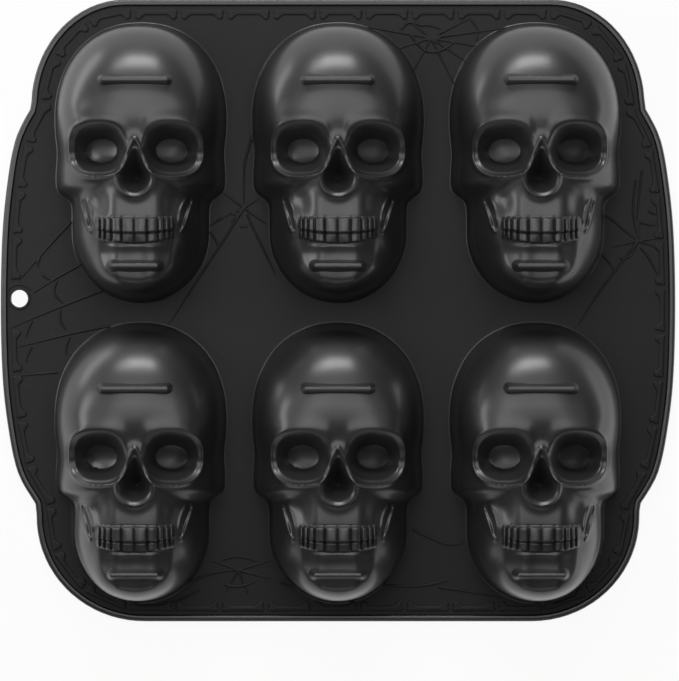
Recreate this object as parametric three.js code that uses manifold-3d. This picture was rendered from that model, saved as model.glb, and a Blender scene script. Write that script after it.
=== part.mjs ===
import * as THREE from "three";
import { mergeVertices } from "three/addons/utils/BufferGeometryUtils.js";
import Module from "manifold-3d";

// A silicone mould for six skull cakes, lying open side down on the underside of its rim.
// Sizes in millimetres: X to the right, Y towards the crowns of the skulls, Z up.

const wasm = await Module();
wasm.setup();

// Tray outline. The grips stand out past its waist.
const TRAY_WIDTH = 320;
const TRAY_LENGTH = 295;
const GRIP_REACH = { top: 14.5, low: 17 };
const CORNER_REACH = { top: 44.5, low: 51 };
const CORNER_DEPTH = { top: 50.5, low: 49.5 };
const GRIP_CENTRE_Y = 2;
const GRIP_LENGTH = 188;
// The grip's edge from its end to its middle: share of its half length, share of its reach
const GRIP_EDGE = [
  [1, 0],
  [0.93, 0.27],
  [0.83, 0.54],
  [0.66, 0.75],
  [0.38, 0.94],
  [0, 1],
];
const CORNER_STEPS = 6;
const GRIP_STEPS = 6;

// Rim bead with its steel ring, and the deck that lies on the bead's shoulder
const CLEARANCE = 0.3;
const RIM_RIDGE_WIDTH = 2.9;
const RIM_RIDGE_RISE = 1.0;
const RIM_BEAD_WIDTH = 4.6;
const RIM_BEAD_HEIGHT = 4.2;
const RIM_ROUNDING = 1.5;
const DECK_THICKNESS = 2.0;
const WIRE_DIAMETER = 2.0;
const WIRE_COVER = 1.2;
const WIRE_INSET = 2.4;
const WIRE_SIDES = 6;
const LOCATING_HOLE_DIAMETER = 1.6;
const LOCATING_HOLE_SIDES = 6;

// Hanging hole in the left grip
const HANG_HOLE_DIAMETER = 8.2;
const HANG_HOLE_INSET = 8.9;
const HANG_HOLE_Y = 5.6;
const EYELET_WIDTH = 1.2;
const EYELET_RISE = 0.6;
const HOLE_SIDES = 16;

// Skull cups: two rows of three, which take the room that these margins and gaps leave in the tray
const COLUMNS = ["left", "middle", "right"];
const ROWS = ["low", "top"];
const GRIP_MARGIN = 25.9;
const END_MARGIN = { top: 11.75, low: 9.35 };
const COLUMN_GAP = 12.3;
const ROW_GAP = 10.3;
const CUP_WALL = 1.8;
const CUP_FILLET = 0.9;
const CRANIUM_WIDEST_Y = 20.4;
const CRANIUM_POWER = 2.2;
const CHEEK_INSET = 0.6;
const CHEEK_LOW_Y = -15.8;
const CHEEK_SOFTNESS = 1.4;
const TEMPLE_DIP = { y: 5, depth: 0.7, spread: 7 };
const JAW_INSET = 8.7;
const JAW_ANGLE_Y = -33;
const POLE_Y = -6;

// Dome section: a steep wall that carries a share of the height, rounded off over WALL_REACH, and
// on it a dome. How far in from the foot of the wall the dome reaches full height at the crown,
// the side, the jaw and the chin, and where along the skull these change
const WALL_SHARE = 0.3;
const WALL_REACH = 1.6;
const DOME_REACH = { crown: 40, side: 26, jaw: 20, chin: 10 };
const CROWN_FROM_Y = 20;
const JAW_FROM_Y = -8;
const JAW_FULL_Y = -26;
const CHIN_FROM_Y = -50;
const CHIN_FULL_Y = -63;

// Height of the face above the deck along its middle, and its fall at FALL_X to either side
const MIDDLE_HEIGHT = [
  [-66, 37.0],
  [-52, 38.4],
  [-45, 38.4],
  [-38, 40.2],
  [-28, 41.4],
  [-6, 39.8],
  [4, 39.4],
  [19, 42.4],
  [28, 42.8],
  [36, 42.3],
  [46, 41.0],
  [66, 38.0],
];
const SIDE_FALL = [
  [-66, 4],
  [-36, 7.5],
  [-20, 6.5],
  [-6, 3.6],
  [10, 2.6],
  [66, 3.2],
];
const FALL_X = 27;
const FALL_POWER = 2.2;

// Relief of the face. Hollows are cut with drafted plugs, whose levels give the height above the
// floor and the share of the outline; mounds rise from a foot to a crest round the same outline.
const EYE = { x: 16.6, y: 5.6, halfX: 11, halfY: 11, power: 2.7, points: 10, floor: 31.2 };
const EYE_LEVELS = [
  [0, 0.62],
  [16, 1.12],
];
const ORBIT_RIM = { foot: 4.2, crest: 1.8, rise: 1.7 };
const NOSTRIL = { topY: 1.9, topR: 0.7, lowY: -8.6, lowR: 6.6, floor: 32.4 };
const NOSTRIL_LEVELS = [
  [0, 0.72],
  [14, 1.15],
];
const NOSE = { topY: 7.8, topR: 1, lowY: -8.9, lowR: 8.2 };
const NOSE_RIDGE = { foot: 3.2, crest: 0, rise: 2.2 };
const CHEEK = { x: 17, y: -20.5, halfX: 5, halfY: 8, power: 2, points: 8, floor: 34.6 };
const CHEEK_LEVELS = [
  [0, 0.6],
  [12, 1.3],
];
const CHIN = { x: 0, y: -51, halfX: 11.4, halfY: 8.6, power: 4, points: 8 };
const CHIN_BOSS = { foot: 2.4, crest: 0, rise: 1.6 };
const UPPER_TEETH = { half: 17.2, topY: -26.6, lowY: -33.9, rise: 1.1, curl: 0.004 };
const LOWER_TEETH = { half: 15.6, topY: -34.6, lowY: -38.8, rise: 0.9, curl: 0.008 };
const SEATING = 0.8;
const DROP_STEPS = 4;
const TEETH_STEPS = 4;

// Foot bars: the mould stands on them when it is filled. Each keeps its inset from the skull's end.
const FOOT_HEIGHT = 45;
const FOREHEAD_FOOT = { inset: 29.7, length: 31.6, width: 2.1, draft: 0.36 };
const CHIN_FOOT = { inset: 16.6, length: 20.4, width: 2.0, draft: 0.27 };
const FOOT_END_STEPS = 3;

// Mesh of a cup: columns round the skull, and rings from the foot of the wall to the nose
const CUP_COLUMNS = 24;
const OUTLINE_STEPS = 60;
const SHARE_STEP = 0.002;
const INSET_STEP = 0.3;
const HALVINGS = 24;
const WALL_RINGS = [0.05, 2.2, 8.5];
const FACE_RINGS = [0.72, 0.38];
const INNER_WALL_RINGS = [0.3, 3, 11];
const INNER_FACE_RINGS = [0.5];

const RIM_TOP = RIM_BEAD_HEIGHT + DECK_THICKNESS + RIM_RIDGE_RISE;
const DECK_UNDER = RIM_BEAD_HEIGHT;
const DECK_TOP = DECK_UNDER + DECK_THICKNESS;
const WIRE_Z = WIRE_COVER + WIRE_DIAMETER / 2;

const COLUMN_GAPS = (COLUMNS.length - 1) * COLUMN_GAP;
const ROW_GAPS = (ROWS.length - 1) * ROW_GAP;
const SKULL_WIDTH = (TRAY_WIDTH - 2 * GRIP_MARGIN - COLUMN_GAPS) / COLUMNS.length;
const SKULL_LENGTH = (TRAY_LENGTH - END_MARGIN.top - END_MARGIN.low - ROW_GAPS) / ROWS.length;
const ROWS_CENTRE_Y = (END_MARGIN.low - END_MARGIN.top) / 2;
const CRANIUM_HALF_WIDTH = SKULL_WIDTH / 2;
const CHEEK_HALF_WIDTH = CRANIUM_HALF_WIDTH - CHEEK_INSET;
const JAW_HALF_WIDTH = CRANIUM_HALF_WIDTH - JAW_INSET;
const CRANIUM_TOP_Y = SKULL_LENGTH / 2;
const CHIN_Y = -SKULL_LENGTH / 2;

const silicone = new THREE.MeshStandardMaterial({ color: 0x1c1c1d, roughness: 0.45, metalness: 0 });
const steel = new THREE.MeshStandardMaterial({ color: 0xb8bbbd, roughness: 0.3, metalness: 1 });

// Small curves

function smooth(from, to, value) {
  const t = THREE.MathUtils.clamp((value - from) / (to - from), 0, 1);
  return t * t * (3 - 2 * t);
}

function bell(value, width) {
  return Math.exp(-((value / width) ** 2));
}

// Height at a place on a smooth curve through [place, height] pairs
function along(pairs, place) {
  const last = pairs.length - 1;
  let i = 0;
  while (i < last - 1 && place > pairs[i + 1][0]) i += 1;
  const slope = (k) => {
    const a = pairs[Math.max(k - 1, 0)];
    const b = pairs[Math.min(k + 1, last)];
    return (b[1] - a[1]) / (b[0] - a[0]);
  };
  const [x0, h0] = pairs[i];
  const [x1, h1] = pairs[i + 1];
  const span = x1 - x0;
  const t = THREE.MathUtils.clamp((place - x0) / span, 0, 1);
  const rise = t * t * (3 - 2 * t);
  const start = t * (1 - t) ** 2 * span * slope(i);
  const end = t * t * (t - 1) * span * slope(i + 1);
  return h0 + (h1 - h0) * rise + start + end;
}

// Clockwise outlines, shrunk to a share of their size and then grown by a distance

function dropOutline(drop, share, growth) {
  const rise = drop.topY - drop.lowY;
  const turn = Math.asin((drop.lowR - drop.topR) / rise);
  const points = [];
  const add = (up, radius, angle) => {
    const reach = radius * share + growth;
    const y = drop.lowY + up * share + reach * Math.sin(angle);
    points.push(new THREE.Vector2(reach * Math.cos(angle), y));
  };
  add(rise, drop.topR, Math.PI / 2);
  add(rise, drop.topR, turn);
  for (let i = 0; i <= DROP_STEPS; i += 1)
    add(0, drop.lowR, turn - (i / DROP_STEPS) * (Math.PI + 2 * turn));
  add(rise, drop.topR, Math.PI - turn);
  return points;
}

function boxOutline(box, share, growth, side = 1) {
  const curve = (part) => Math.sign(part) * Math.abs(part) ** (2 / box.power);
  const points = [];
  for (let i = 0; i < box.points; i += 1) {
    const angle = (0.25 - i / box.points) * Math.PI * 2;
    const x = side * box.x + (box.halfX * share + growth) * curve(Math.cos(angle));
    const y = box.y + (box.halfY * share + growth) * curve(Math.sin(angle));
    points.push(new THREE.Vector2(x, y));
  }
  return points;
}

// Solids and geometries

function solidOf(geometry) {
  const bare = geometry.clone();
  bare.deleteAttribute("normal");
  bare.deleteAttribute("uv");
  const merged = mergeVertices(bare, 1e-4);
  const corners = merged.index.array;
  const faces = [];
  for (let i = 0; i < corners.length; i += 3) {
    const [a, b, c] = corners.slice(i, i + 3);
    if (a !== b && b !== c && c !== a) faces.push(a, b, c);
  }
  return new wasm.Manifold(
    new wasm.Mesh({
      numProp: 3,
      vertProperties: new Float32Array(merged.attributes.position.array),
      triVerts: new Uint32Array(faces),
    }),
  );
}

function geometryOf(solid) {
  const mesh = solid.getMesh();
  const geometry = new THREE.BufferGeometry();
  geometry.setAttribute("position", new THREE.BufferAttribute(mesh.vertProperties, 3));
  geometry.setIndex(new THREE.BufferAttribute(mesh.triVerts, 1));
  geometry.computeVertexNormals();
  return geometry;
}

// A closed skin over rings of points, each patch split along its shorter diagonal. Rings of one
// length are joined in order: the first closes on the last, or each end closes on one point.
function skinOver(rings, { start = null, end = null } = {}) {
  const count = rings[0].length;
  const points = rings.flat();
  const faces = [];
  const at = (ring, column) => ring * count + (column % count);
  const joins = start || end ? rings.length - 1 : rings.length;
  for (let ring = 0; ring < joins; ring += 1) {
    const next = (ring + 1) % rings.length;
    for (let column = 0; column < count; column += 1) {
      const [a, b] = [at(ring, column), at(ring, column + 1)];
      const [c, d] = [at(next, column), at(next, column + 1)];
      const across = points[a].distanceTo(points[d]) <= points[b].distanceTo(points[c]);
      faces.push(...(across ? [a, d, b, a, c, d] : [a, c, b, c, d, b]));
    }
  }
  if (start) {
    points.push(start);
    for (let column = 0; column < count; column += 1)
      faces.push(points.length - 1, at(0, column), at(0, column + 1));
  }
  if (end) {
    points.push(end);
    const ring = rings.length - 1;
    for (let column = 0; column < count; column += 1)
      faces.push(points.length - 1, at(ring, column + 1), at(ring, column));
  }
  const geometry = new THREE.BufferGeometry().setFromPoints(points);
  geometry.setIndex(faces);
  geometry.computeVertexNormals();
  return geometry;
}

// Tray outline as stations on its edge, each with its outward normal

function waistHalfWidth(end) {
  return TRAY_WIDTH / 2 - GRIP_REACH[end];
}

function cornerPoints(end) {
  const sign = end === "top" ? 1 : -1;
  const centreX = waistHalfWidth(end) - CORNER_REACH[end];
  const centreY = sign * (TRAY_LENGTH / 2 - CORNER_DEPTH[end]);
  const points = [];
  for (let i = 0; i <= CORNER_STEPS; i += 1) {
    const angle = (i / CORNER_STEPS) * (Math.PI / 2);
    const x = centreX + CORNER_REACH[end] * Math.sin(angle);
    const y = centreY + sign * CORNER_DEPTH[end] * Math.cos(angle);
    points.push(new THREE.Vector2(x, y));
  }
  return sign > 0 ? points : points.reverse();
}

function gripPoints() {
  const point = (end, [along, reach]) => {
    const sign = end === "top" ? 1 : -1;
    const y = GRIP_CENTRE_Y + (sign * along * GRIP_LENGTH) / 2;
    return new THREE.Vector2(waistHalfWidth(end) + GRIP_REACH[end] * reach, y);
  };
  const upper = GRIP_EDGE.map((share) => point("top", share));
  const lower = GRIP_EDGE.slice(0, -1).map((share) => point("low", share));
  const edge = new THREE.SplineCurve([...upper, ...lower.reverse()]);
  return edge.getSpacedPoints(2 * GRIP_STEPS).slice(1, -1);
}

function trayStations() {
  const right = [...cornerPoints("top"), ...gripPoints(), ...cornerPoints("low")];
  const left = right.map((p) => new THREE.Vector2(-p.x, p.y)).reverse();
  const points = [...right, ...left];
  return points.map((point, i) => {
    const before = points[(i + points.length - 1) % points.length];
    const after = points[(i + 1) % points.length];
    const normal = (from, to) => new THREE.Vector2(from.y - to.y, to.x - from.x).normalize();
    const first = normal(before, point);
    const second = normal(point, after);
    const outward = first.clone().add(second).normalize();
    outward.divideScalar(outward.dot(first));
    return { point, outward };
  });
}

const STATIONS = trayStations();

// The stations at the middle of each corner and each grip
function middleStations() {
  const side = STATIONS.length / 2;
  const right = [CORNER_STEPS / 2, (side - 1) / 2, side - 1 - CORNER_STEPS / 2];
  return [...right, ...right.map((i) => STATIONS.length - 1 - i)];
}

function insetLoop(inset) {
  return STATIONS.map(({ point, outward }) => point.clone().addScaledVector(outward, -inset));
}

// A section of [inset, height] points swept all round the tray
function sweepRound(section) {
  const rings = section.map(([inset, height]) =>
    insetLoop(inset).map((p) => new THREE.Vector3(p.x, p.y, height)),
  );
  return skinOver(rings);
}

function wireSection(radius) {
  const section = [];
  for (let i = 0; i < WIRE_SIDES; i += 1) {
    const angle = (-i / WIRE_SIDES) * Math.PI * 2;
    section.push([WIRE_INSET + radius * Math.cos(angle), WIRE_Z + radius * Math.sin(angle)]);
  }
  return section;
}

// Rim: a round-backed bead with a low ridge round the deck, moulded about the wire. The small
// holes below are left by the pins that hold the wire in the tool.
function rimBead() {
  const bend = RIM_ROUNDING * (1 - Math.SQRT1_2);
  const bead = solidOf(
    sweepRound([
      [RIM_ROUNDING, 0],
      [0, RIM_ROUNDING],
      [0, RIM_TOP - RIM_ROUNDING],
      [bend, RIM_TOP - bend],
      [RIM_ROUNDING, RIM_TOP],
      [RIM_RIDGE_WIDTH, RIM_TOP - RIM_RIDGE_RISE],
      [RIM_RIDGE_WIDTH, DECK_UNDER],
      [RIM_BEAD_WIDTH, DECK_UNDER],
      [RIM_BEAD_WIDTH, 0],
    ]),
  );
  let solid = bead.subtract(solidOf(sweepRound(wireSection(WIRE_DIAMETER / 2 + CLEARANCE))));
  const radius = LOCATING_HOLE_DIAMETER / 2;
  const wirePath = insetLoop(WIRE_INSET);
  for (const station of middleStations()) {
    const pin = new THREE.CylinderGeometry(radius, radius, 2 * WIRE_Z, LOCATING_HOLE_SIDES);
    pin.rotateX(Math.PI / 2);
    pin.translate(wirePath[station].x, wirePath[station].y, 0);
    solid = solid.subtract(solidOf(pin));
  }
  return geometryOf(solid);
}

function reinforcingRing() {
  return sweepRound(wireSection(WIRE_DIAMETER / 2));
}

// Outline of a skull at the deck

function halfWidthAt(y) {
  if (y > CRANIUM_WIDEST_Y) {
    const up = (y - CRANIUM_WIDEST_Y) / (CRANIUM_TOP_Y - CRANIUM_WIDEST_Y);
    return CRANIUM_HALF_WIDTH * Math.max(1 - up ** CRANIUM_POWER, 0) ** (1 / CRANIUM_POWER);
  }
  if (y < JAW_ANGLE_Y) {
    const down = (JAW_ANGLE_Y - y) / (JAW_ANGLE_Y - CHIN_Y);
    return JAW_HALF_WIDTH * Math.sqrt(Math.max(1 - down * down, 0));
  }
  const cheek = 1 / (1 + Math.exp(-(y - CHEEK_LOW_Y) / CHEEK_SOFTNESS));
  const temple = (CRANIUM_HALF_WIDTH - CHEEK_HALF_WIDTH) * smooth(0, CRANIUM_WIDEST_Y, y);
  const dip = TEMPLE_DIP.depth * bell(y - TEMPLE_DIP.y, TEMPLE_DIP.spread);
  return JAW_HALF_WIDTH + (CHEEK_HALF_WIDTH - JAW_HALF_WIDTH) * cheek + temple - dip;
}

function skullOutline() {
  const right = [];
  const quarter = Math.PI / 2;
  for (let i = 0; i < OUTLINE_STEPS; i += 1) {
    const y = CRANIUM_WIDEST_Y + (CRANIUM_TOP_Y - CRANIUM_WIDEST_Y) * Math.cos((i / OUTLINE_STEPS) * quarter);
    right.push(new THREE.Vector2(i === 0 ? 0 : halfWidthAt(y), y));
  }
  for (let i = 0; i < OUTLINE_STEPS; i += 1) {
    const y = THREE.MathUtils.lerp(CRANIUM_WIDEST_Y, JAW_ANGLE_Y, i / OUTLINE_STEPS);
    right.push(new THREE.Vector2(halfWidthAt(y), y));
  }
  for (let i = 0; i <= OUTLINE_STEPS; i += 1) {
    const y = JAW_ANGLE_Y + (CHIN_Y - JAW_ANGLE_Y) * Math.sin((i / OUTLINE_STEPS) * quarter);
    right.push(new THREE.Vector2(i === OUTLINE_STEPS ? 0 : halfWidthAt(y), y));
  }
  const left = right.slice(1, -1).map((p) => new THREE.Vector2(-p.x, p.y));
  const loop = [...right, ...left.reverse(), right[0].clone()];
  return new THREE.Path(loop);
}

const OUTLINE = skullOutline();
const POLE = new THREE.Vector2(0, POLE_Y);

// A point of the skull's outline and the direction out of it, by share of its length
function outlineAt(share) {
  const wrapped = ((share % 1) + 1) % 1;
  const point = OUTLINE.getPointAt(wrapped);
  const before = OUTLINE.getPointAt((wrapped + 1 - SHARE_STEP) % 1);
  const after = OUTLINE.getPointAt((wrapped + SHARE_STEP) % 1);
  const outward = new THREE.Vector2(before.y - after.y, after.x - before.x).normalize();
  return { point, outward };
}

// Surface of a skull above the deck, before the eyes, nose and teeth

function faceHeight(x, y) {
  return along(MIDDLE_HEIGHT, y) - along(SIDE_FALL, y) * (Math.abs(x) / FALL_X) ** FALL_POWER;
}

function domeReach(y) {
  const crown = smooth(CROWN_FROM_Y, CRANIUM_TOP_Y, y);
  const jaw = smooth(JAW_FROM_Y, JAW_FULL_Y, y);
  const chin = smooth(CHIN_FROM_Y, CHIN_FULL_Y, y);
  const steps = {
    crown: (DOME_REACH.crown - DOME_REACH.side) * crown,
    jaw: (DOME_REACH.jaw - DOME_REACH.side) * jaw,
    chin: (DOME_REACH.chin - DOME_REACH.jaw) * chin,
  };
  return DOME_REACH.side + steps.crown + steps.jaw + steps.chin;
}

// Height of a quarter circle whose foot is at 0, as a share of its radius
function quarterRound(share) {
  const left = 1 - Math.min(share, 1);
  return Math.sqrt(1 - left * left);
}

function domeShare(inset, reach) {
  const from = Math.max(inset, 0);
  return WALL_SHARE * quarterRound(from / WALL_REACH) + (1 - WALL_SHARE) * quarterRound(from / reach);
}

// The point of the skull's surface that lies inset millimetres in from the foot of its wall
function skullPoint(share, inset) {
  const { point } = outlineAt(share);
  const away = point.clone().sub(POLE);
  const plan = POLE.clone().addScaledVector(away, 1 - inset / away.length());
  const height = domeShare(inset, domeReach(point.y)) * faceHeight(plan.x, plan.y);
  return new THREE.Vector3(plan.x, plan.y, height);
}

// The outline's point in the direction of a place, seen from the pole
function outlineBeyond(x, y) {
  const direction = new THREE.Vector2(Math.abs(x), y - POLE_Y);
  let low = 0;
  let high = 0.5;
  for (let i = 0; i < HALVINGS; i += 1) {
    const middle = (low + high) / 2;
    const away = outlineAt(middle).point.sub(POLE);
    if (away.cross(direction) < 0) low = middle;
    else high = middle;
  }
  return outlineAt((low + high) / 2).point;
}

function surfaceAt(x, y) {
  const foot = outlineBeyond(x, y);
  const inset = foot.distanceTo(POLE) - Math.hypot(x, y - POLE_Y);
  return domeShare(inset, domeReach(foot.y)) * faceHeight(x, y);
}

function skullNormal(share, inset) {
  const out = skullPoint(share, Math.max(inset - INSET_STEP, 0));
  const into = skullPoint(share, inset + INSET_STEP);
  const before = skullPoint(share - SHARE_STEP, inset);
  const after = skullPoint(share + SHARE_STEP, inset);
  return after.sub(before).cross(out.sub(into)).normalize();
}

function ringOf(place) {
  const ring = [];
  for (let i = 0; i < CUP_COLUMNS; i += 1) ring.push(place(i / CUP_COLUMNS));
  return ring;
}

function flangeRing(offset, height) {
  return ringOf((share) => {
    const { point, outward } = outlineAt(share);
    const p = point.clone().addScaledVector(outward, offset);
    return new THREE.Vector3(p.x, p.y, height);
  });
}

// Rings of the surface: some at set distances from the foot of the wall, the rest shared out
// between the last of these and the pole
function surfaceRings(wallRings, faceRings, place) {
  const last = wallRings.at(-1);
  const rings = wallRings.map((inset) => ringOf((share) => place(share, inset)));
  for (const part of faceRings)
    rings.push(
      ringOf((share) => {
        const span = outlineAt(share).point.distanceTo(POLE) - last;
        return place(share, last + span * (1 - part));
      }),
    );
  return rings;
}

function centreOf(points) {
  const sum = points.reduce((total, p) => total.add(p), points[0].clone().multiplyScalar(0));
  return sum.divideScalar(points.length);
}

// A plug that cuts a drafted hollow, or with a wall the outside of that hollow's shell
function plug(outlineOf, levels, floor, wall) {
  const rings = levels.map(([height, share]) =>
    outlineOf(share, wall).map((p) => new THREE.Vector3(p.x, p.y, floor - wall + height)),
  );
  return solidOf(skinOver(rings, { start: centreOf(rings[0]), end: centreOf(rings.at(-1)) }));
}

// A low mound that follows the skull's surface
function mound(outlineOf, { foot, crest, rise }) {
  const ring = (share, growth, height) =>
    outlineOf(share, growth).map((p) => new THREE.Vector3(p.x, p.y, surfaceAt(p.x, p.y) + height));
  const rings = [ring(1, foot, -SEATING), ring(1, crest, rise)];
  const middle = centreOf(rings[1]);
  const top = surfaceAt(middle.x, middle.y) + rise;
  const under = middle.clone().setZ(centreOf(rings[0]).z - SEATING);
  return solidOf(skinOver(rings, { start: under, end: middle.setZ(top) }));
}

function bothSides(make) {
  return make(1).add(make(-1));
}

function teethBar(row) {
  const rings = [];
  for (let i = 0; i <= TEETH_STEPS; i += 1) {
    const x = THREE.MathUtils.lerp(-row.half, row.half, i / TEETH_STEPS);
    const corner = (edge, height) => {
      const y = edge + row.curl * x * x;
      return new THREE.Vector3(x, y, surfaceAt(x, y) + height);
    };
    rings.push([
      corner(row.lowY, row.rise),
      corner(row.topY, row.rise),
      corner(row.topY, -SEATING),
      corner(row.lowY, -SEATING),
    ]);
  }
  return solidOf(skinOver(rings, { start: centreOf(rings[0]), end: centreOf(rings.at(-1)) }));
}

// All that is cut from a skull, or with a wall the outside of the shell about those cuts
function hollows(wall) {
  const eyes = bothSides((side) =>
    plug((share, growth) => boxOutline(EYE, share, growth, side), EYE_LEVELS, EYE.floor, wall),
  );
  const cheeks = bothSides((side) =>
    plug((share, growth) => boxOutline(CHEEK, share, growth, side), CHEEK_LEVELS, CHEEK.floor, wall),
  );
  const nostril = plug(
    (share, growth) => dropOutline(NOSTRIL, share, growth),
    NOSTRIL_LEVELS,
    NOSTRIL.floor,
    wall,
  );
  return eyes.add(cheeks).add(nostril);
}

// All that stands out from a skull's surface
function mounds() {
  const rims = bothSides((side) =>
    mound((share, growth) => boxOutline(EYE, share, growth, side), ORBIT_RIM),
  );
  return rims
    .add(mound((share, growth) => dropOutline(NOSE, share, growth), NOSE_RIDGE))
    .add(mound((share, growth) => boxOutline(CHIN, share, growth), CHIN_BOSS))
    .add(teethBar(UPPER_TEETH))
    .add(teethBar(LOWER_TEETH));
}

// A whole skull on the flange that fills its place in the deck
function skullBlock() {
  const bottom = -DECK_THICKNESS;
  const rings = [
    flangeRing(CUP_FILLET, bottom),
    flangeRing(CUP_FILLET, 0),
    ...surfaceRings(WALL_RINGS, FACE_RINGS, skullPoint),
  ];
  const start = new THREE.Vector3(0, POLE_Y, bottom);
  const end = new THREE.Vector3(0, POLE_Y, faceHeight(0, POLE_Y));
  return solidOf(skinOver(rings, { start, end })).add(mounds());
}

// The room inside a skull with a wall of even thickness, open below
function skullRoom() {
  const bottom = -2 * DECK_THICKNESS;
  const wallPoint = (share, inset) =>
    skullPoint(share, inset).addScaledVector(skullNormal(share, inset), -CUP_WALL);
  const inner = surfaceRings(INNER_WALL_RINGS, INNER_FACE_RINGS, wallPoint);
  const mouth = inner[0].map((p) => p.clone().setZ(bottom));
  const start = new THREE.Vector3(0, POLE_Y, bottom);
  const end = new THREE.Vector3(0, POLE_Y, faceHeight(0, POLE_Y) - CUP_WALL);
  return solidOf(skinOver([mouth, ...inner], { start, end }));
}

// One cup: a thin shell in the shape of a skull whose wall follows the relief on both sides
function skullCup(block) {
  return block.subtract(skullRoom().subtract(hollows(CUP_WALL))).subtract(hollows(0));
}

// Deck with the six cup openings, the hanging hole and its eyelet

function cupPlaces() {
  const fromMiddle = (list, i) => i - (list.length - 1) / 2;
  return ROWS.flatMap((row, up) =>
    COLUMNS.map((column, across) => {
      const x = fromMiddle(COLUMNS, across) * (SKULL_WIDTH + COLUMN_GAP);
      const y = ROWS_CENTRE_Y + fromMiddle(ROWS, up) * (SKULL_LENGTH + ROW_GAP);
      return { name: `${row}_${column}`, x, y };
    }),
  );
}

function deck() {
  const shape = new THREE.Shape(insetLoop(RIM_RIDGE_WIDTH + CLEARANCE).reverse());
  const opening = flangeRing(CUP_FILLET + CLEARANCE, 0);
  for (const { x, y } of cupPlaces())
    shape.holes.push(new THREE.Path(opening.map((p) => new THREE.Vector2(p.x + x, p.y + y))));
  const web = new THREE.ExtrudeGeometry(shape, { depth: DECK_THICKNESS, bevelEnabled: false });
  web.translate(0, 0, DECK_UNDER);
  const radius = HANG_HOLE_DIAMETER / 2;
  const top = DECK_TOP + EYELET_RISE;
  const eyelet = new THREE.LatheGeometry(
    [
      new THREE.Vector2(0, DECK_UNDER + DECK_THICKNESS / 2),
      new THREE.Vector2(radius + EYELET_WIDTH + EYELET_RISE, DECK_UNDER + DECK_THICKNESS / 2),
      new THREE.Vector2(radius + EYELET_WIDTH, top),
      new THREE.Vector2(0, top),
    ],
    HOLE_SIDES,
  );
  const hole = new THREE.CylinderGeometry(radius, radius, 2 * top, HOLE_SIDES);
  const place = (geometry) => {
    geometry.rotateX(Math.PI / 2);
    geometry.translate(HANG_HOLE_INSET - TRAY_WIDTH / 2, HANG_HOLE_Y, 0);
    return solidOf(geometry);
  };
  return geometryOf(solidOf(web).add(place(eyelet)).subtract(place(hole)));
}

// A foot bar: round-ended, level on top, drafted down into the skull and cut to its surface
function footBar(foot, y, skull) {
  const reach = (foot.length - foot.width) / 2;
  const corner = (side, angle, down) => {
    const radius = foot.width / 2 + foot.draft * down;
    const x = side * reach + radius * Math.cos(angle);
    return new THREE.Vector3(x, y + radius * Math.sin(angle), FOOT_HEIGHT - down);
  };
  const seat = (side, angle) => {
    let [above, below] = [0, FOOT_HEIGHT / 2];
    for (let i = 0; i < HALVINGS; i += 1) {
      const middle = (above + below) / 2;
      const p = corner(side, angle, middle);
      if (p.z > surfaceAt(p.x, p.y) - SEATING) above = middle;
      else below = middle;
    }
    return corner(side, angle, below);
  };
  const ring = (place) => {
    const points = [];
    for (const side of [1, -1])
      for (let i = 0; i <= FOOT_END_STEPS; i += 1)
        points.push(place(side, (side / 2 - i / FOOT_END_STEPS) * Math.PI));
    return points;
  };
  const rings = [ring(seat), ring((side, angle) => corner(side, angle, 0))];
  const bar = solidOf(skinOver(rings, { start: centreOf(rings[0]), end: centreOf(rings[1]) }));
  return geometryOf(bar.subtract(skull.translate([0, 0, CLEARANCE])));
}

// Assembly

const mould = new THREE.Group();

function addPiece(name, geometry, material, x = 0, y = 0, z = 0) {
  const mesh = new THREE.Mesh(geometry, material);
  mesh.name = name;
  mesh.position.set(x, y, z);
  mould.add(mesh);
}

addPiece("rim_bead", rimBead(), silicone);
addPiece("reinforcing_ring", reinforcingRing(), steel);
addPiece("deck", deck(), silicone);

const block = skullBlock();
const cup = geometryOf(skullCup(block));
const foreheadFoot = footBar(FOREHEAD_FOOT, CRANIUM_TOP_Y - FOREHEAD_FOOT.inset, block);
const chinFoot = footBar(CHIN_FOOT, CHIN_Y + CHIN_FOOT.inset, block);
for (const { name, x, y } of cupPlaces()) {
  addPiece(`skull_cup_${name}`, cup, silicone, x, y, DECK_TOP);
  addPiece(`forehead_foot_${name}`, foreheadFoot, silicone, x, y, DECK_TOP);
  addPiece(`chin_foot_${name}`, chinFoot, silicone, x, y, DECK_TOP);
}

export default mould;
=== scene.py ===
"""Looks of a black silicone mould for six skull cakes, lying face up on its rim.

Sizes are in millimetres until a mesh is made. X runs to the right, Y towards the crowns of the
skulls and Z up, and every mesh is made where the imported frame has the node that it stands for.
"""

import logging
import math
from dataclasses import dataclass, field
from enum import Enum

import bpy
import numpy as np
from mathutils import Matrix, Vector


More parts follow.
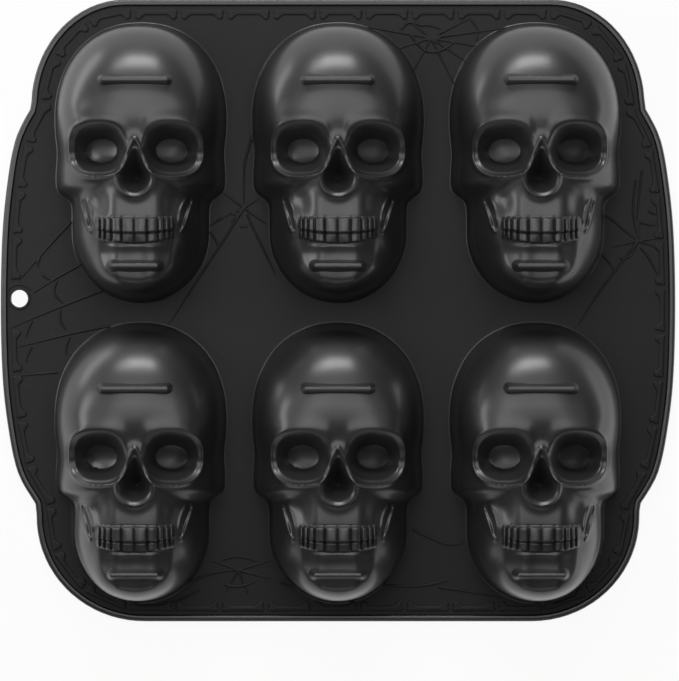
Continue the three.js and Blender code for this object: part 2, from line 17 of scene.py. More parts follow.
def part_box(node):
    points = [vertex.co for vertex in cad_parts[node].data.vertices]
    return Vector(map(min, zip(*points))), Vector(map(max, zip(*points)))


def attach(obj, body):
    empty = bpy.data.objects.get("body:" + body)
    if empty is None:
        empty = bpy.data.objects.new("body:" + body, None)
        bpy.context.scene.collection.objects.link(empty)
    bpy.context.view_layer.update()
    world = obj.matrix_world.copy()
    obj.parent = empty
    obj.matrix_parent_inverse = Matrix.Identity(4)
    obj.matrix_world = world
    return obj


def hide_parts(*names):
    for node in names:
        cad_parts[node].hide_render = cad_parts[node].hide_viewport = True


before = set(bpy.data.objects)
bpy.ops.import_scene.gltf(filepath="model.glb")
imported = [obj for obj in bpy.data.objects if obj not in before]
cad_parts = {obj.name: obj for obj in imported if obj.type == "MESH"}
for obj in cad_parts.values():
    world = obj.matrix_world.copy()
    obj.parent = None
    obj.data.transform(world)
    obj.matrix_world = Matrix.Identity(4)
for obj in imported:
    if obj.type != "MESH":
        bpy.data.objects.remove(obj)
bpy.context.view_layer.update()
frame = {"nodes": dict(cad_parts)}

LOG = logging.getLogger("skull_mould")
BODY = "root"
MILLIMETRE = 0.001
TINY = 1e-9
MERGE_DISTANCE = 1e-6
TORUS_RADIUS = 2.0
PATH_STRETCHES = 12
NOISE_MEAN = 0.5
PIT_SCALE_SHARE = 0.33

Point = tuple[float, float]
Pairs = tuple[Point, ...]


class Row(Enum):
    """Rows of skulls, named as the frame names them."""

    LOW = "low"
    TOP = "top"


class Column(Enum):
    """Columns of skulls, named as the frame names them."""

    LEFT = "left"
    MIDDLE = "middle"
    RIGHT = "right"


# Small curves and distances, over whole arrays at once


def smooth(start: float, end: float, value: np.ndarray) -> np.ndarray:
    """Ease from 0 at start to 1 at end.

    Args:
        start: Value at which the ease begins.
        end: Value at which it ends, which may be the lower of the two.
        value: Values to ease.

    Returns:
        The eased values, from 0 to 1.
    """
    t = np.clip((value - start) / (end - start), 0.0, 1.0)
    return t * t * (3.0 - 2.0 * t)


def bell(value: np.ndarray, width: float) -> np.ndarray:
    """Return a bell curve of a value, 1 at zero and fading over a width."""
    return np.exp(-((value / width) ** 2))


def along(pairs: Pairs, place: np.ndarray) -> np.ndarray:
    """Follow a smooth curve through places and heights.

    Args:
        pairs: Places in rising order, each with its height.
        place: Places to read the curve at.

    Returns:
        The height at each place.
    """
    x, z = np.array(pairs, float).T
    slope = np.empty_like(x)
    slope[1:-1] = (z[2:] - z[:-2]) / (x[2:] - x[:-2])
    slope[0] = (z[1] - z[0]) / (x[1] - x[0])
    slope[-1] = (z[-1] - z[-2]) / (x[-1] - x[-2])
    i = np.clip(np.searchsorted(x, place) - 1, 0, len(x) - 2)
    span = x[i + 1] - x[i]
    t = np.clip((place - x[i]) / span, 0.0, 1.0)
    rise = t * t * (3.0 - 2.0 * t)
    start = t * (1.0 - t) ** 2 * span * slope[i]
    end = t * t * (t - 1.0) * span * slope[i + 1]
    return z[i] + (z[i + 1] - z[i]) * rise + start + end


def from_line(x: np.ndarray, y: np.ndarray, start: Point, end: Point) -> np.ndarray:
    """Measure the distance to a straight stretch.

    Args:
        x: Places across.
        y: Places along.
        start: One end of the stretch.
        end: Its other end.

    Returns:
        The distance of each place from the nearest point of the stretch.
    """
    dx, dy = end[0] - start[0], end[1] - start[1]
    share = np.clip(((x - start[0]) * dx + (y - start[1]) * dy) / (dx * dx + dy * dy), 0.0, 1.0)
    return np.hypot(x - start[0] - share * dx, y - start[1] - share * dy)


def from_path(x: np.ndarray, y: np.ndarray, path: Pairs) -> np.ndarray:
    """Measure the distance to a bent line.

    Args:
        x: Places across.
        y: Places along.
        path: Start of the line, a point that it bends towards, and its end.

    Returns:
        The distance of each place from the nearest point of the line.
    """
    start, bend, end = np.array(path, float)
    t = np.linspace(0.0, 1.0, PATH_STRETCHES + 1)[:, None]
    points = start * (1.0 - t) ** 2 + bend * 2.0 * t * (1.0 - t) + end * t**2
    return np.minimum.reduce([from_line(x, y, a, b) for a, b in zip(points, points[1:])])


@dataclass(frozen=True)
class Drop:
    """A drop standing on its round end: a small circle above a large one, and their tangents."""

    top_y: float
    top_radius: float
    low_y: float
    low_radius: float

    def distance(self, x: np.ndarray, y: np.ndarray) -> np.ndarray:
        """Measure how far places lie outside the drop.

        Args:
            x: Places across, from the drop's middle.
            y: Places along.

        Returns:
            The distance from the drop's edge, negative inside it.
        """
        rise = self.top_y - self.low_y
        taper = (self.low_radius - self.top_radius) / rise
        flank = math.sqrt(1.0 - taper * taper)
        across, up = np.abs(x), y - self.low_y
        part = flank * up - taper * across
        low = np.hypot(across, up) - self.low_radius
        top = np.hypot(across, up - rise) - self.top_radius
        side = across * flank + up * taper - self.low_radius
        return np.where(part < 0.0, low, np.where(part > flank * rise, top, side))


# Mesh helpers


def deselect_all() -> None:
    """Leave edit mode, if it is on, and select nothing."""
    if bpy.context.object and bpy.context.object.mode != "OBJECT":
        bpy.ops.object.mode_set(mode="OBJECT")
    bpy.ops.object.select_all(action="DESELECT")


def choose(*pieces: bpy.types.Object) -> None:
    """Select some objects alone, the first of them active.

    Args:
        *pieces: Objects to select.
    """
    deselect_all()
    for piece in pieces:
        piece.select_set(True)
    bpy.context.view_layer.objects.active = pieces[0]


def vertices_of(piece: bpy.types.Object) -> np.ndarray:
    """Return an object's vertices as rows of X, Y and Z.

    Args:
        piece: Object whose mesh is read.

    Returns:
        One row for each vertex, in metres.
    """
    places = np.empty(len(piece.data.vertices) * 3)
    piece.data.vertices.foreach_get("co", places)
    return places.reshape(-1, 3)


def move_vertices(piece: bpy.types.Object, places: np.ndarray) -> None:
    """Put an object's vertices at new places, one row for each."""
    piece.data.vertices.foreach_set("co", np.ascontiguousarray(places, float).ravel())
    piece.data.update()


def finish_modifier(piece: bpy.types.Object, kind: str, **settings: object) -> None:
    """Add a modifier to an object and apply it.

    Args:
        piece: Object that is changed.
        kind: Blender's name for the modifier's type.
        **settings: Values of the modifier's own properties.
    """
    choose(piece)
    modifier = piece.modifiers.new(kind.title(), kind)
    for name, value in settings.items():
        setattr(modifier, name, value)
    bpy.ops.object.modifier_apply(modifier=modifier.name)


def round_off(piece: bpy.types.Object, degrees: float) -> None:
    """Shade an object smooth over every edge flatter than an angle."""
    choose(piece)
    bpy.ops.object.shade_smooth_by_angle(angle=math.radians(degrees))


def shape_sphere(name: str, rings: list[np.ndarray]) -> bpy.types.Object:
    """Draw a sphere's rings out into a closed skin.

    Args:
        name: Name of the new object.
        rings: Rings of points from the top pole to the bottom one, all as long as one another and
            running anticlockwise seen from above. The poles are the means of the first and last.

    Returns:
        The new object, in metres.
    """
    columns = len(rings[0])
    deselect_all()
    bpy.ops.mesh.primitive_uv_sphere_add(segments=columns, ring_count=len(rings) + 1, radius=1.0)
    piece = bpy.context.object
    piece.name = name
    piece.data.name = name
    x, y, z = vertices_of(piece).T
    ring = np.rint(np.arccos(np.clip(z, -1.0, 1.0)) / math.pi * (len(rings) + 1)).astype(int)
    column = np.rint(np.arctan2(y, x) / (2.0 * math.pi) * columns).astype(int) % columns
    poles = [np.tile(rings[end].mean(0), (columns, 1)) for end in (0, -1)]
    skin = np.array([poles[0], *rings, poles[1]])
    move_vertices(piece, skin[ring, column] * MILLIMETRE)
    return piece


def shape_torus(name: str, loops: np.ndarray) -> bpy.types.Object:
    """Draw a torus out along a closed course.

    Args:
        name: Name of the new object.
        loops: Points by course step, then by section step. The course runs anticlockwise seen
            from above, and each section from its outer side over its top.

    Returns:
        The new object, in metres.
    """
    steps, sides = loops.shape[:2]
    deselect_all()
    bpy.ops.mesh.primitive_torus_add(
        major_segments=steps, minor_segments=sides, major_radius=TORUS_RADIUS, minor_radius=1.0
    )
    piece = bpy.context.object
    piece.name = name
    piece.data.name = name
    x, y, z = vertices_of(piece).T
    step = np.rint(np.arctan2(y, x) / (2.0 * math.pi) * steps).astype(int) % steps
    turn = np.arctan2(z, np.hypot(x, y) - TORUS_RADIUS) / (2.0 * math.pi)
    side = np.rint(turn * sides).astype(int) % sides
    move_vertices(piece, loops[step, side] * MILLIMETRE)
    return piece


def close_up(piece: bpy.types.Object) -> None:
    """Merge an object's doubled vertices and turn its faces outwards.

    Args:
        piece: Object that is changed.
    """
    choose(piece)
    bpy.ops.object.mode_set(mode="EDIT")
    bpy.ops.mesh.select_all(action="SELECT")
    bpy.ops.mesh.remove_doubles(threshold=MERGE_DISTANCE)
    bpy.ops.mesh.normals_make_consistent(inside=False)
    bpy.ops.object.mode_set(mode="OBJECT")


def copy_to(model: bpy.types.Object, name: str, place: Point) -> bpy.types.Object:
    """Copy an object with a mesh of its own.

    Args:
        model: Object to copy.
        name: Name of the copy.
        place: How far the copy's mesh is moved in plan, in millimetres.

    Returns:
        The copy, whose own origin stays where it is.
    """
    piece = model.copy()
    piece.data = model.data.copy()
    piece.name = name
    piece.data.name = name
    bpy.context.scene.collection.objects.link(piece)
    shift = Vector((place[0], place[1], 0.0)) * MILLIMETRE
    piece.data.transform(Matrix.Translation(shift))
    return piece


def settle(piece: bpy.types.Object, finish: bpy.types.Material, *nodes: str) -> None:
    """Dress a finished piece and fix it to the frame.

    Args:
        piece: Object that is done.
        finish: Its material.
        *nodes: Nodes of the frame that it stands for.
    """
    piece.data.materials.clear()
    piece.data.materials.append(finish)
    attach(piece, BODY)
    if nodes:
        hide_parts(*nodes)
    LOG.info("%s: %d faces", piece.name, len(piece.data.polygons))


def add_spline(curve: bpy.types.Curve, kind: str, course: np.ndarray) -> bpy.types.Spline:
    """Add a spline to a curve.

    Args:
        curve: Curve that it is added to.
        kind: Blender's name for the spline's type.
        course: Points in plan, in millimetres.

    Returns:
        The new spline.
    """
    spline = curve.splines.new(kind)
    spline.points.add(len(course) - 1)
    flat = np.column_stack([course * MILLIMETRE, np.zeros(len(course)), np.ones(len(course))])
    spline.points.foreach_set("co", flat.ravel())
    return spline


def mesh_from(curve: bpy.types.Curve) -> bpy.types.Object:
    """Turn a curve into a mesh object of the same name.

    Args:
        curve: Curve that is not in the scene yet.

    Returns:
        The mesh object, which alone is selected.
    """
    piece = bpy.data.objects.new(curve.name, curve)
    bpy.context.scene.collection.objects.link(piece)
    choose(piece)
    bpy.ops.object.convert(target="MESH")
    return bpy.context.object


def lift(rings: list[np.ndarray], height: float) -> None:
    """Raise rings of points by a height."""
    for ring in rings:
        ring[:, 2] += height


def close_course(points: np.ndarray) -> np.ndarray:
    """Return a closed course with its first point added at its end."""
    return np.vstack([points, points[:1]])


def even_points(points: np.ndarray, count: int) -> np.ndarray:
    """Spread points evenly round a closed course.

    Args:
        points: Points of the course, in order.
        count: How many points to make.

    Returns:
        The new points, the first where the old first is.
    """
    course = close_course(points)
    lengths = np.concatenate([[0.0], np.cumsum(np.hypot(*np.diff(course, axis=0).T))])
    places = np.linspace(0.0, lengths[-1], count, endpoint=False)
    return np.stack([np.interp(places, lengths, course[:, k]) for k in (0, 1)], 1)


def outward_from(points: np.ndarray) -> np.ndarray:
    """Return the outward directions of an anticlockwise closed course at its points.

    Args:
        points: Points of the course.

    Returns:
        A direction of length one for each point.
    """
    ahead = np.roll(points, -1, 0) - np.roll(points, 1, 0)
    outward = np.stack([ahead[:, 1], -ahead[:, 0]], 1)
    return outward / np.hypot(*outward.T)[:, None]


# The frame's levels and places


@dataclass(frozen=True)
class Levels:
    """Heights that the pieces share, in millimetres."""

    deck_thickness: float = 2.0
    ridge_rise: float = 1.0

    @property
    def deck_under(self) -> float:
        """Return the height of the deck's underside."""
        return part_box("deck")[0].z / MILLIMETRE

    @property
    def deck_top(self) -> float:
        """Return the height of the deck's upper face."""
        return self.deck_under + self.deck_thickness

    @property
    def rim_top(self) -> float:
        """Return the height of the rim's ridge."""
        return self.deck_top + self.ridge_rise


def place_name(row: Row, column: Column) -> str:
    """Return what the frame's node names say of a skull's place."""
    return f"{row.value}_{column.value}"


def cup_place(row: Row, column: Column) -> Point:
    """Return where the middle of a skull lies, in millimetres.

    Args:
        row: Row of the skull.
        column: Its column.

    Returns:
        Its place across and along.
    """
    low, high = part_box(f"skull_cup_{place_name(row, column)}")
    middle = (low + high) / 2.0 / MILLIMETRE
    return middle.x, middle.y


@dataclass(frozen=True)
class TrayOutline:
    """Edge of the tray in plan: four elliptical corners, and a grip that stands out at each side.

    The pairs give the top end first, then the low end.
    """

    width: float = 320.0
    length: float = 295.0
    grip_reach: Point = (14.5, 17.0)
    corner_reach: Point = (44.5, 51.0)
    corner_depth: Point = (50.5, 49.5)
    grip_centre_y: float = 2.0
    grip_length: float = 188.0
    grip_edge: Pairs = ((1.0, 0.0), (0.93, 0.27), (0.83, 0.54), (0.66, 0.75), (0.38, 0.94), (0.0, 1.0))
    corner_steps: int = 60
    grip_steps: int = 16
    softening: float = 2.6
    fine_points: int = 4096

    def corner(self, end: int) -> np.ndarray:
        """Trace a right-hand corner clockwise, at the top for end 0 and low for end 1.

        Args:
            end: Which end the corner is at.

        Returns:
            Points of the corner.
        """
        sign = 1 - 2 * end
        angle = np.linspace(0.0, math.pi / 2.0, self.corner_steps)
        waist = self.width / 2.0 - self.grip_reach[end]
        x = waist - self.corner_reach[end] * (1.0 - np.sin(angle))
        y = sign * (self.length / 2.0 - self.corner_depth[end] * (1.0 - np.cos(angle)))
        points = np.stack([x, y], 1)
        return points if sign > 0 else points[::-1]

    def grip(self) -> np.ndarray:
        """Trace the right-hand grip clockwise, as a smooth curve through its edge points.

        Returns:
            Points of the grip.
        """
        def point(end: int, share: Point) -> Point:
            """Return a point of the grip's edge."""
            reach = self.width / 2.0 - self.grip_reach[end] * (1.0 - share[1])
            return reach, self.grip_centre_y + (1 - 2 * end) * share[0] * self.grip_length / 2.0

        upper = [point(0, share) for share in self.grip_edge]
        lower = [point(1, share) for share in self.grip_edge[:-1]]
        edge = np.array(upper + lower[::-1])
        padded = np.vstack([edge[:1], edge, edge[-1:]])
        t = np.linspace(0.0, 1.0, self.grip_steps, endpoint=False)[:, None]
        course = []
        for a, b, c, d in zip(padded, padded[1:], padded[2:], padded[3:]):
            into, out = (c - a) / 2.0, (d - b) / 2.0
            course.append(
                b + into * t + (3.0 * (c - b) - 2.0 * into - out) * t**2
                + (2.0 * (b - c) + into + out) * t**3
            )
        return np.vstack(course)

    def edge(self) -> np.ndarray:
        """Return the whole edge anticlockwise, with soft joins between grips and corners.

        Returns:
            Points of the edge, evenly spread.
        """
        right = np.vstack([self.corner(0), self.grip(), self.corner(1)])
        left = right[::-1] * (-1.0, 1.0)
        course = even_points(np.vstack([right, left])[::-1], self.fine_points)
        length = np.hypot(*(close_course(course)[1:] - course).T).sum()
        waves = np.fft.fftfreq(self.fine_points, length / self.fine_points)
        fade = np.exp(-2.0 * (math.pi * waves * self.softening / 2.0) ** 2)
        flat = np.fft.ifft(np.fft.fft(course[:, 0] + 1j * course[:, 1]) * fade)
        return np.stack([flat.real, flat.imag], 1)

    def line(self, inset: float, count: int) -> np.ndarray:
        """Return evenly spread points of a line that runs inside the edge.

        Args:
            inset: Distance from the edge to the line.
            count: How many points to make.

        Returns:
            The points, anticlockwise.
        """
        edge = self.edge()
        return even_points(edge - outward_from(edge) * inset, count)

    def swept(self, section: np.ndarray, count: int) -> np.ndarray:
        """Sweep a section of insets and heights round the tray.

        Args:
            section: Rows of inset and height.
            count: How many times the section is set round the edge.

        Returns:
            Points by course step, then by section step.
        """
        edge = even_points(self.edge(), count)
        outward = outward_from(edge)
        plan = edge[:, None, :] - outward[:, None, :] * section[None, :, :1]
        height = np.broadcast_to(section[None, :, 1:], (count, len(section), 1))
        return np.concatenate([plan, height], 2)


# The skull


@dataclass(frozen=True)
class SkullOutline:
    """Foot of a skull's wall on the deck: cranium, cheek and jaw."""

    cranium_half: float = 40.1
    cranium_widest_y: float = 20.4
    cranium_power: float = 2.2
    cheek_half: float = 39.6
    cheek_low_y: float = -15.8
    cheek_softness: float = 1.4
    temple_y: float = 5.0
    temple_depth: float = 0.7
    temple_spread: float = 7.0
    jaw_half: float = 31.9
    jaw_angle_y: float = -33.0
    end_y: float = 65.9
    steps: int = 300

    def half_width(self, y: np.ndarray) -> np.ndarray:
        """Return half the skull's width at places along it.

        Args:
            y: Places along the skull.

        Returns:
            Half the width at each place.
        """
        up = np.clip((y - self.cranium_widest_y) / (self.end_y - self.cranium_widest_y), 0.0, 1.0)
        down = np.clip((self.jaw_angle_y - y) / (self.jaw_angle_y + self.end_y), 0.0, 1.0)
        crown = self.cranium_half * (1.0 - up**self.cranium_power) ** (1.0 / self.cranium_power)
        jaw = self.jaw_half * np.sqrt(1.0 - down * down)
        cheek = 1.0 / (1.0 + np.exp(-(y - self.cheek_low_y) / self.cheek_softness))
        side = self.jaw_half + (self.cheek_half - self.jaw_half) * cheek
        side += (self.cranium_half - self.cheek_half) * smooth(0.0, self.cranium_widest_y, y)
        side -= self.temple_depth * bell(y - self.temple_y, self.temple_spread)
        return np.where(y > self.cranium_widest_y, crown, np.where(y < self.jaw_angle_y, jaw, side))

    def points(self, count: int) -> np.ndarray:
        """Return evenly spread points of the outline, anticlockwise from the crown.

        Args:
            count: How many points to make.

        Returns:
            The points.
        """
        quarter = np.linspace(0.0, math.pi / 2.0, self.steps)
        crown = self.cranium_widest_y + (self.end_y - self.cranium_widest_y) * np.cos(quarter)
        side = np.linspace(self.cranium_widest_y, self.jaw_angle_y, self.steps)
        jaw = self.jaw_angle_y - (self.end_y + self.jaw_angle_y) * np.sin(quarter)
        y = np.concatenate([crown, side[1:], jaw[1:]])
        x = self.half_width(y)
        x[[0, -1]] = 0.0
        left = np.stack([-x, y], 1)
        right = np.stack([x, y], 1)[-2:0:-1]
        return even_points(np.vstack([left, right]), count)


@dataclass(frozen=True)
class Oval:
    """A rounded figure: an ellipse whose sides a higher power makes squarer."""

    x: float
    y: float
    half_x: float
    half_y: float
    power: float

    def size(self, x: np.ndarray, y: np.ndarray) -> np.ndarray:
        """Return how many times as large the figure would be with its edge through each place.

        Args:
            x: Places across.
            y: Places along.

        Returns:
            The size at each place, one on the figure's own edge.
        """
        across = np.abs((x - self.x) / self.half_x) ** self.power
        up = np.abs((y - self.y) / self.half_y) ** self.power
        return (across + up) ** (1.0 / self.power)


@dataclass(frozen=True)
class Eyes:
    """Two sockets that fall from a sharp rim, steeper and steeper, to a tilted floor under a brow."""

    crest: Oval = Oval(17.0, 4.8, 14.3, 13.1, 2.6)
    floor: Oval = Oval(16.1, 4.2, 7.2, 5.6, 2.1)
    depth: float = 11.0
    straight_share: float = 0.02
    fall_power: float = 1.8
    bowl: float = 0.7
    tilt_out: float = 0.16
    tilt_up: float = 0.12
    line_rise: float = 1.2
    line_width: float = 0.85
    second_rise: float = 0.4
    second_inset: float = 2.4
    brow_rise: float = 1.0
    brow_width: float = 3.6
    line_fades: Point = (10.0, -3.0)
    fade_slope: float = 0.8
    bridge: Point = (1.0, 6.0)

    def relief(self, x: np.ndarray, y: np.ndarray) -> np.ndarray:
        """Return how far the eyes lift the face at each place.

        Args:
            x: Places across.
            y: Places along.

        Returns:
            The lift at each place, negative where the face sinks.
        """
        side = np.abs(x)
        rim, floor = self.crest.size(side, y), self.floor.size(side, y)
        off = (rim - 1.0) * self.crest.half_y
        climbed = np.maximum(floor - 1.0, 0.0) * self.floor.half_y
        left = np.maximum(-off, 0.0) / np.maximum(climbed + np.maximum(-off, 0.0), TINY)
        fall = self.straight_share * left + (1.0 - self.straight_share) * left**self.fall_power
        tilt = self.tilt_out * (side - self.floor.x) + self.tilt_up * (y - self.floor.y)
        hollow = fall * (self.depth + tilt) + self.bowl * np.maximum(1.0 - floor**2, 0.0)
        up = y - self.crest.y - self.fade_slope * (side - self.crest.x)
        line = self.line_rise * bell(off, self.line_width)
        line += self.second_rise * bell(off + self.second_inset, self.line_width)
        brow = self.brow_rise * bell(off, self.brow_width)
        return (line * smooth(*self.line_fades, up) + brow) * smooth(*self.bridge, side) - hollow


@dataclass(frozen=True)
class Nose:
    """Drop-shaped opening with a lip, in a raised frame, with the root of the nose above it."""

    frame: Drop = Drop(7.8, 1.0, -9.0, 8.3)
    opening: Drop = Drop(3.0, 1.1, -8.7, 6.7)
    frame_rise: float = 1.2
    frame_width: float = 2.7
    line_rise: float = 0.9
    line_width: float = 0.8
    lip_rise: float = 0.45
    lip_width: float = 0.6
    depth: float = 12.0
    wall_width: float = 7.6
    wall_softness: float = 0.4
    root_rise: float = 0.9
    root_y: float = 12.0
    root_half: Point = (5.0, 8.0)
    spine_y: float = -10.7
    spine_rise: float = 0.6
    spine_width: float = 0.5

    def relief(self, x: np.ndarray, y: np.ndarray) -> np.ndarray:
        """Return how far the nose lifts the face at each place.

        Args:
            x: Places across.
            y: Places along.

        Returns:
            The lift at each place, negative where the face sinks.
        """
        frame_off, inside = self.frame.distance(x, y), self.opening.distance(x, y)
        rise = self.frame_rise * bell(frame_off, self.frame_width)
        rise += self.line_rise * bell(frame_off, self.line_width)
        rise += self.lip_rise * bell(inside - self.lip_width, self.lip_width)
        rise += self.root_rise * bell(x, self.root_half[0]) * bell(y - self.root_y, self.root_half[1])
        rise -= self.depth * smooth(self.wall_softness, -self.wall_width, inside)
        return rise + self.spine_rise * bell(np.hypot(x, y - self.spine_y), self.spine_width)


@dataclass(frozen=True)
class Cheeks:
    """Hollows under the cheekbones, the ridges over the eye teeth and the jaw's rising branch."""

    hollow: Point = (17.4, -20.0)
    hollow_size: Point = (4.4, 7.0)
    hollow_depth: float = 2.2
    flank_depth: float = 2.4
    flank_x: Point = (9.0, 29.0)
    flank_top_y: Point = (-10.5, -18.5)
    flank_low_y: Point = (-60.0, -44.0)
    canine_path: Pairs = ((8.9, -9.0), (9.6, -16.0), (8.8, -26.0))
    canine_rise: float = 0.8
    canine_width: float = 4.6
    branch_path: Pairs = ((26.1, -18.2), (24.6, -26.0), (21.2, -33.6))
    inner_path: Pairs = ((23.0, -18.8), (19.8, -24.0), (20.6, -30.5))
    edge_rise: float = 0.9
    edge_width: float = 0.75
    slit_path: Pairs = ((24.8, -19.6), (22.4, -24.5), (21.0, -30.5))
    slit_depth: float = 1.7
    slit_width: float = 1.0

    def relief(self, x: np.ndarray, y: np.ndarray) -> np.ndarray:
        """Return how far the cheeks lift the face at each place.

        Args:
            x: Places across.
            y: Places along.

        Returns:
            The lift at each place, negative where the face sinks.
        """
        side = np.abs(x)
        hollow = bell(side - self.hollow[0], self.hollow_size[0])
        hollow *= bell(y - self.hollow[1], self.hollow_size[1])
        flank = smooth(*self.flank_x, side) * smooth(*self.flank_top_y, y) * smooth(*self.flank_low_y, y)
        rise = self.canine_rise * bell(from_path(side, y, self.canine_path), self.canine_width)
        rise += self.edge_rise * bell(from_path(side, y, self.branch_path), self.edge_width)
        rise += self.edge_rise * bell(from_path(side, y, self.inner_path), self.edge_width)
        rise -= self.slit_depth * bell(from_path(side, y, self.slit_path), self.slit_width)
        return rise - self.hollow_depth * hollow - self.flank_depth * flank


@dataclass(frozen=True)
class Teeth:
    """Two rows of rounded teeth in one curved band, parted by upright gaps and a bite line."""

    half: float = 17.8
    top_y: float = -27.2
    low_y: float = -38.9
    bite_y: float = -34.4
    bite_curl: float = 0.005
    low_curl: float = 0.008
    rise: float = 1.3
    gaps: tuple[float, ...] = (0.0, 5.9, 10.7, 13.7, 16.0, 17.9)
    bulge: float = 0.7
    groove_width: float = 0.42
    groove_depth: float = 1.0
    front_depth: float = 0.5
    edge_share: float = 0.3
    edge_drop: float = 0.3
    lean: float = 0.2
    end_softness: float = 0.8
    top_softness: float = 0.9
    low_softness: float = 0.5
    bite_softness: float = 0.4

    def relief(self, x: np.ndarray, y: np.ndarray) -> np.ndarray:
        """Return how far the teeth lift the face at each place.

        Args:
            x: Places across.
            y: Places along.

        Returns:
            The lift at each place, negative where the face sinks.
        """
        side = np.abs(x)
        low = y - self.low_y - self.low_curl * x**2
        bite = y - self.bite_y - self.bite_curl * x**2
        top = self.top_y - y
        inside = smooth(self.half + self.end_softness, self.half - self.end_softness, side)
        band = inside * smooth(-self.top_softness, self.top_softness, top)
        band *= smooth(-self.low_softness, self.low_softness, low)
        face = np.zeros_like(side)
        for left, right in zip(self.gaps, self.gaps[1:]):
            across = np.clip((2.0 * side - left - right) / (right - left), -1.0, 1.0)
            face = np.maximum(face, 1.0 - across**2)
        gaps = self.front_depth * bell(side, self.groove_width)
        for place in self.gaps[1:]:
            gaps = np.maximum(gaps, self.groove_depth * bell(side - place, self.groove_width))
        lines = bell(bite, self.groove_width)
        lines += self.edge_share * bell(top + self.edge_drop, self.groove_width)
        upper = smooth(-self.bite_softness, self.bite_softness, bite) * self.lean * np.maximum(top, 0.0)
        return band * (self.rise + self.bulge * face + upper - gaps) - inside * self.groove_depth * lines


@dataclass(frozen=True)
class Chin:
    """Raised chin under the teeth, with an upright swelling at each side."""

    half: float = 11.4
    softness: float = 5.0
    top_y: float = -39.4
    top_fade: Point = (0.8, 1.2)
    low_y: float = -60.4
    low_softness: float = 3.2
    rise: float = 0.7
    swelling: Pairs = ((7.6, -41.0), (8.4, -49.0), (7.6, -55.5))
    swelling_rise: float = 1.1
    swelling_width: float = 4.0

    def relief(self, x: np.ndarray, y: np.ndarray) -> np.ndarray:
        """Return how far the chin lifts the face at each place.

        Args:
            x: Places across.
            y: Places along.

        Returns:
            The lift at each place, negative where the face sinks.
        """
        side = np.abs(x)
        boss = smooth(self.half + self.softness, self.half - self.softness, side)
        boss *= smooth(self.top_y + self.top_fade[0], self.top_y - self.top_fade[1], y)
        boss *= smooth(self.low_y - self.low_softness, self.low_y + self.low_softness, y)
        swelling = bell(from_path(side, y, self.swelling), self.swelling_width)
        return self.rise * boss + self.swelling_rise * swelling


Feature = Eyes | Nose | Cheeks | Teeth | Chin


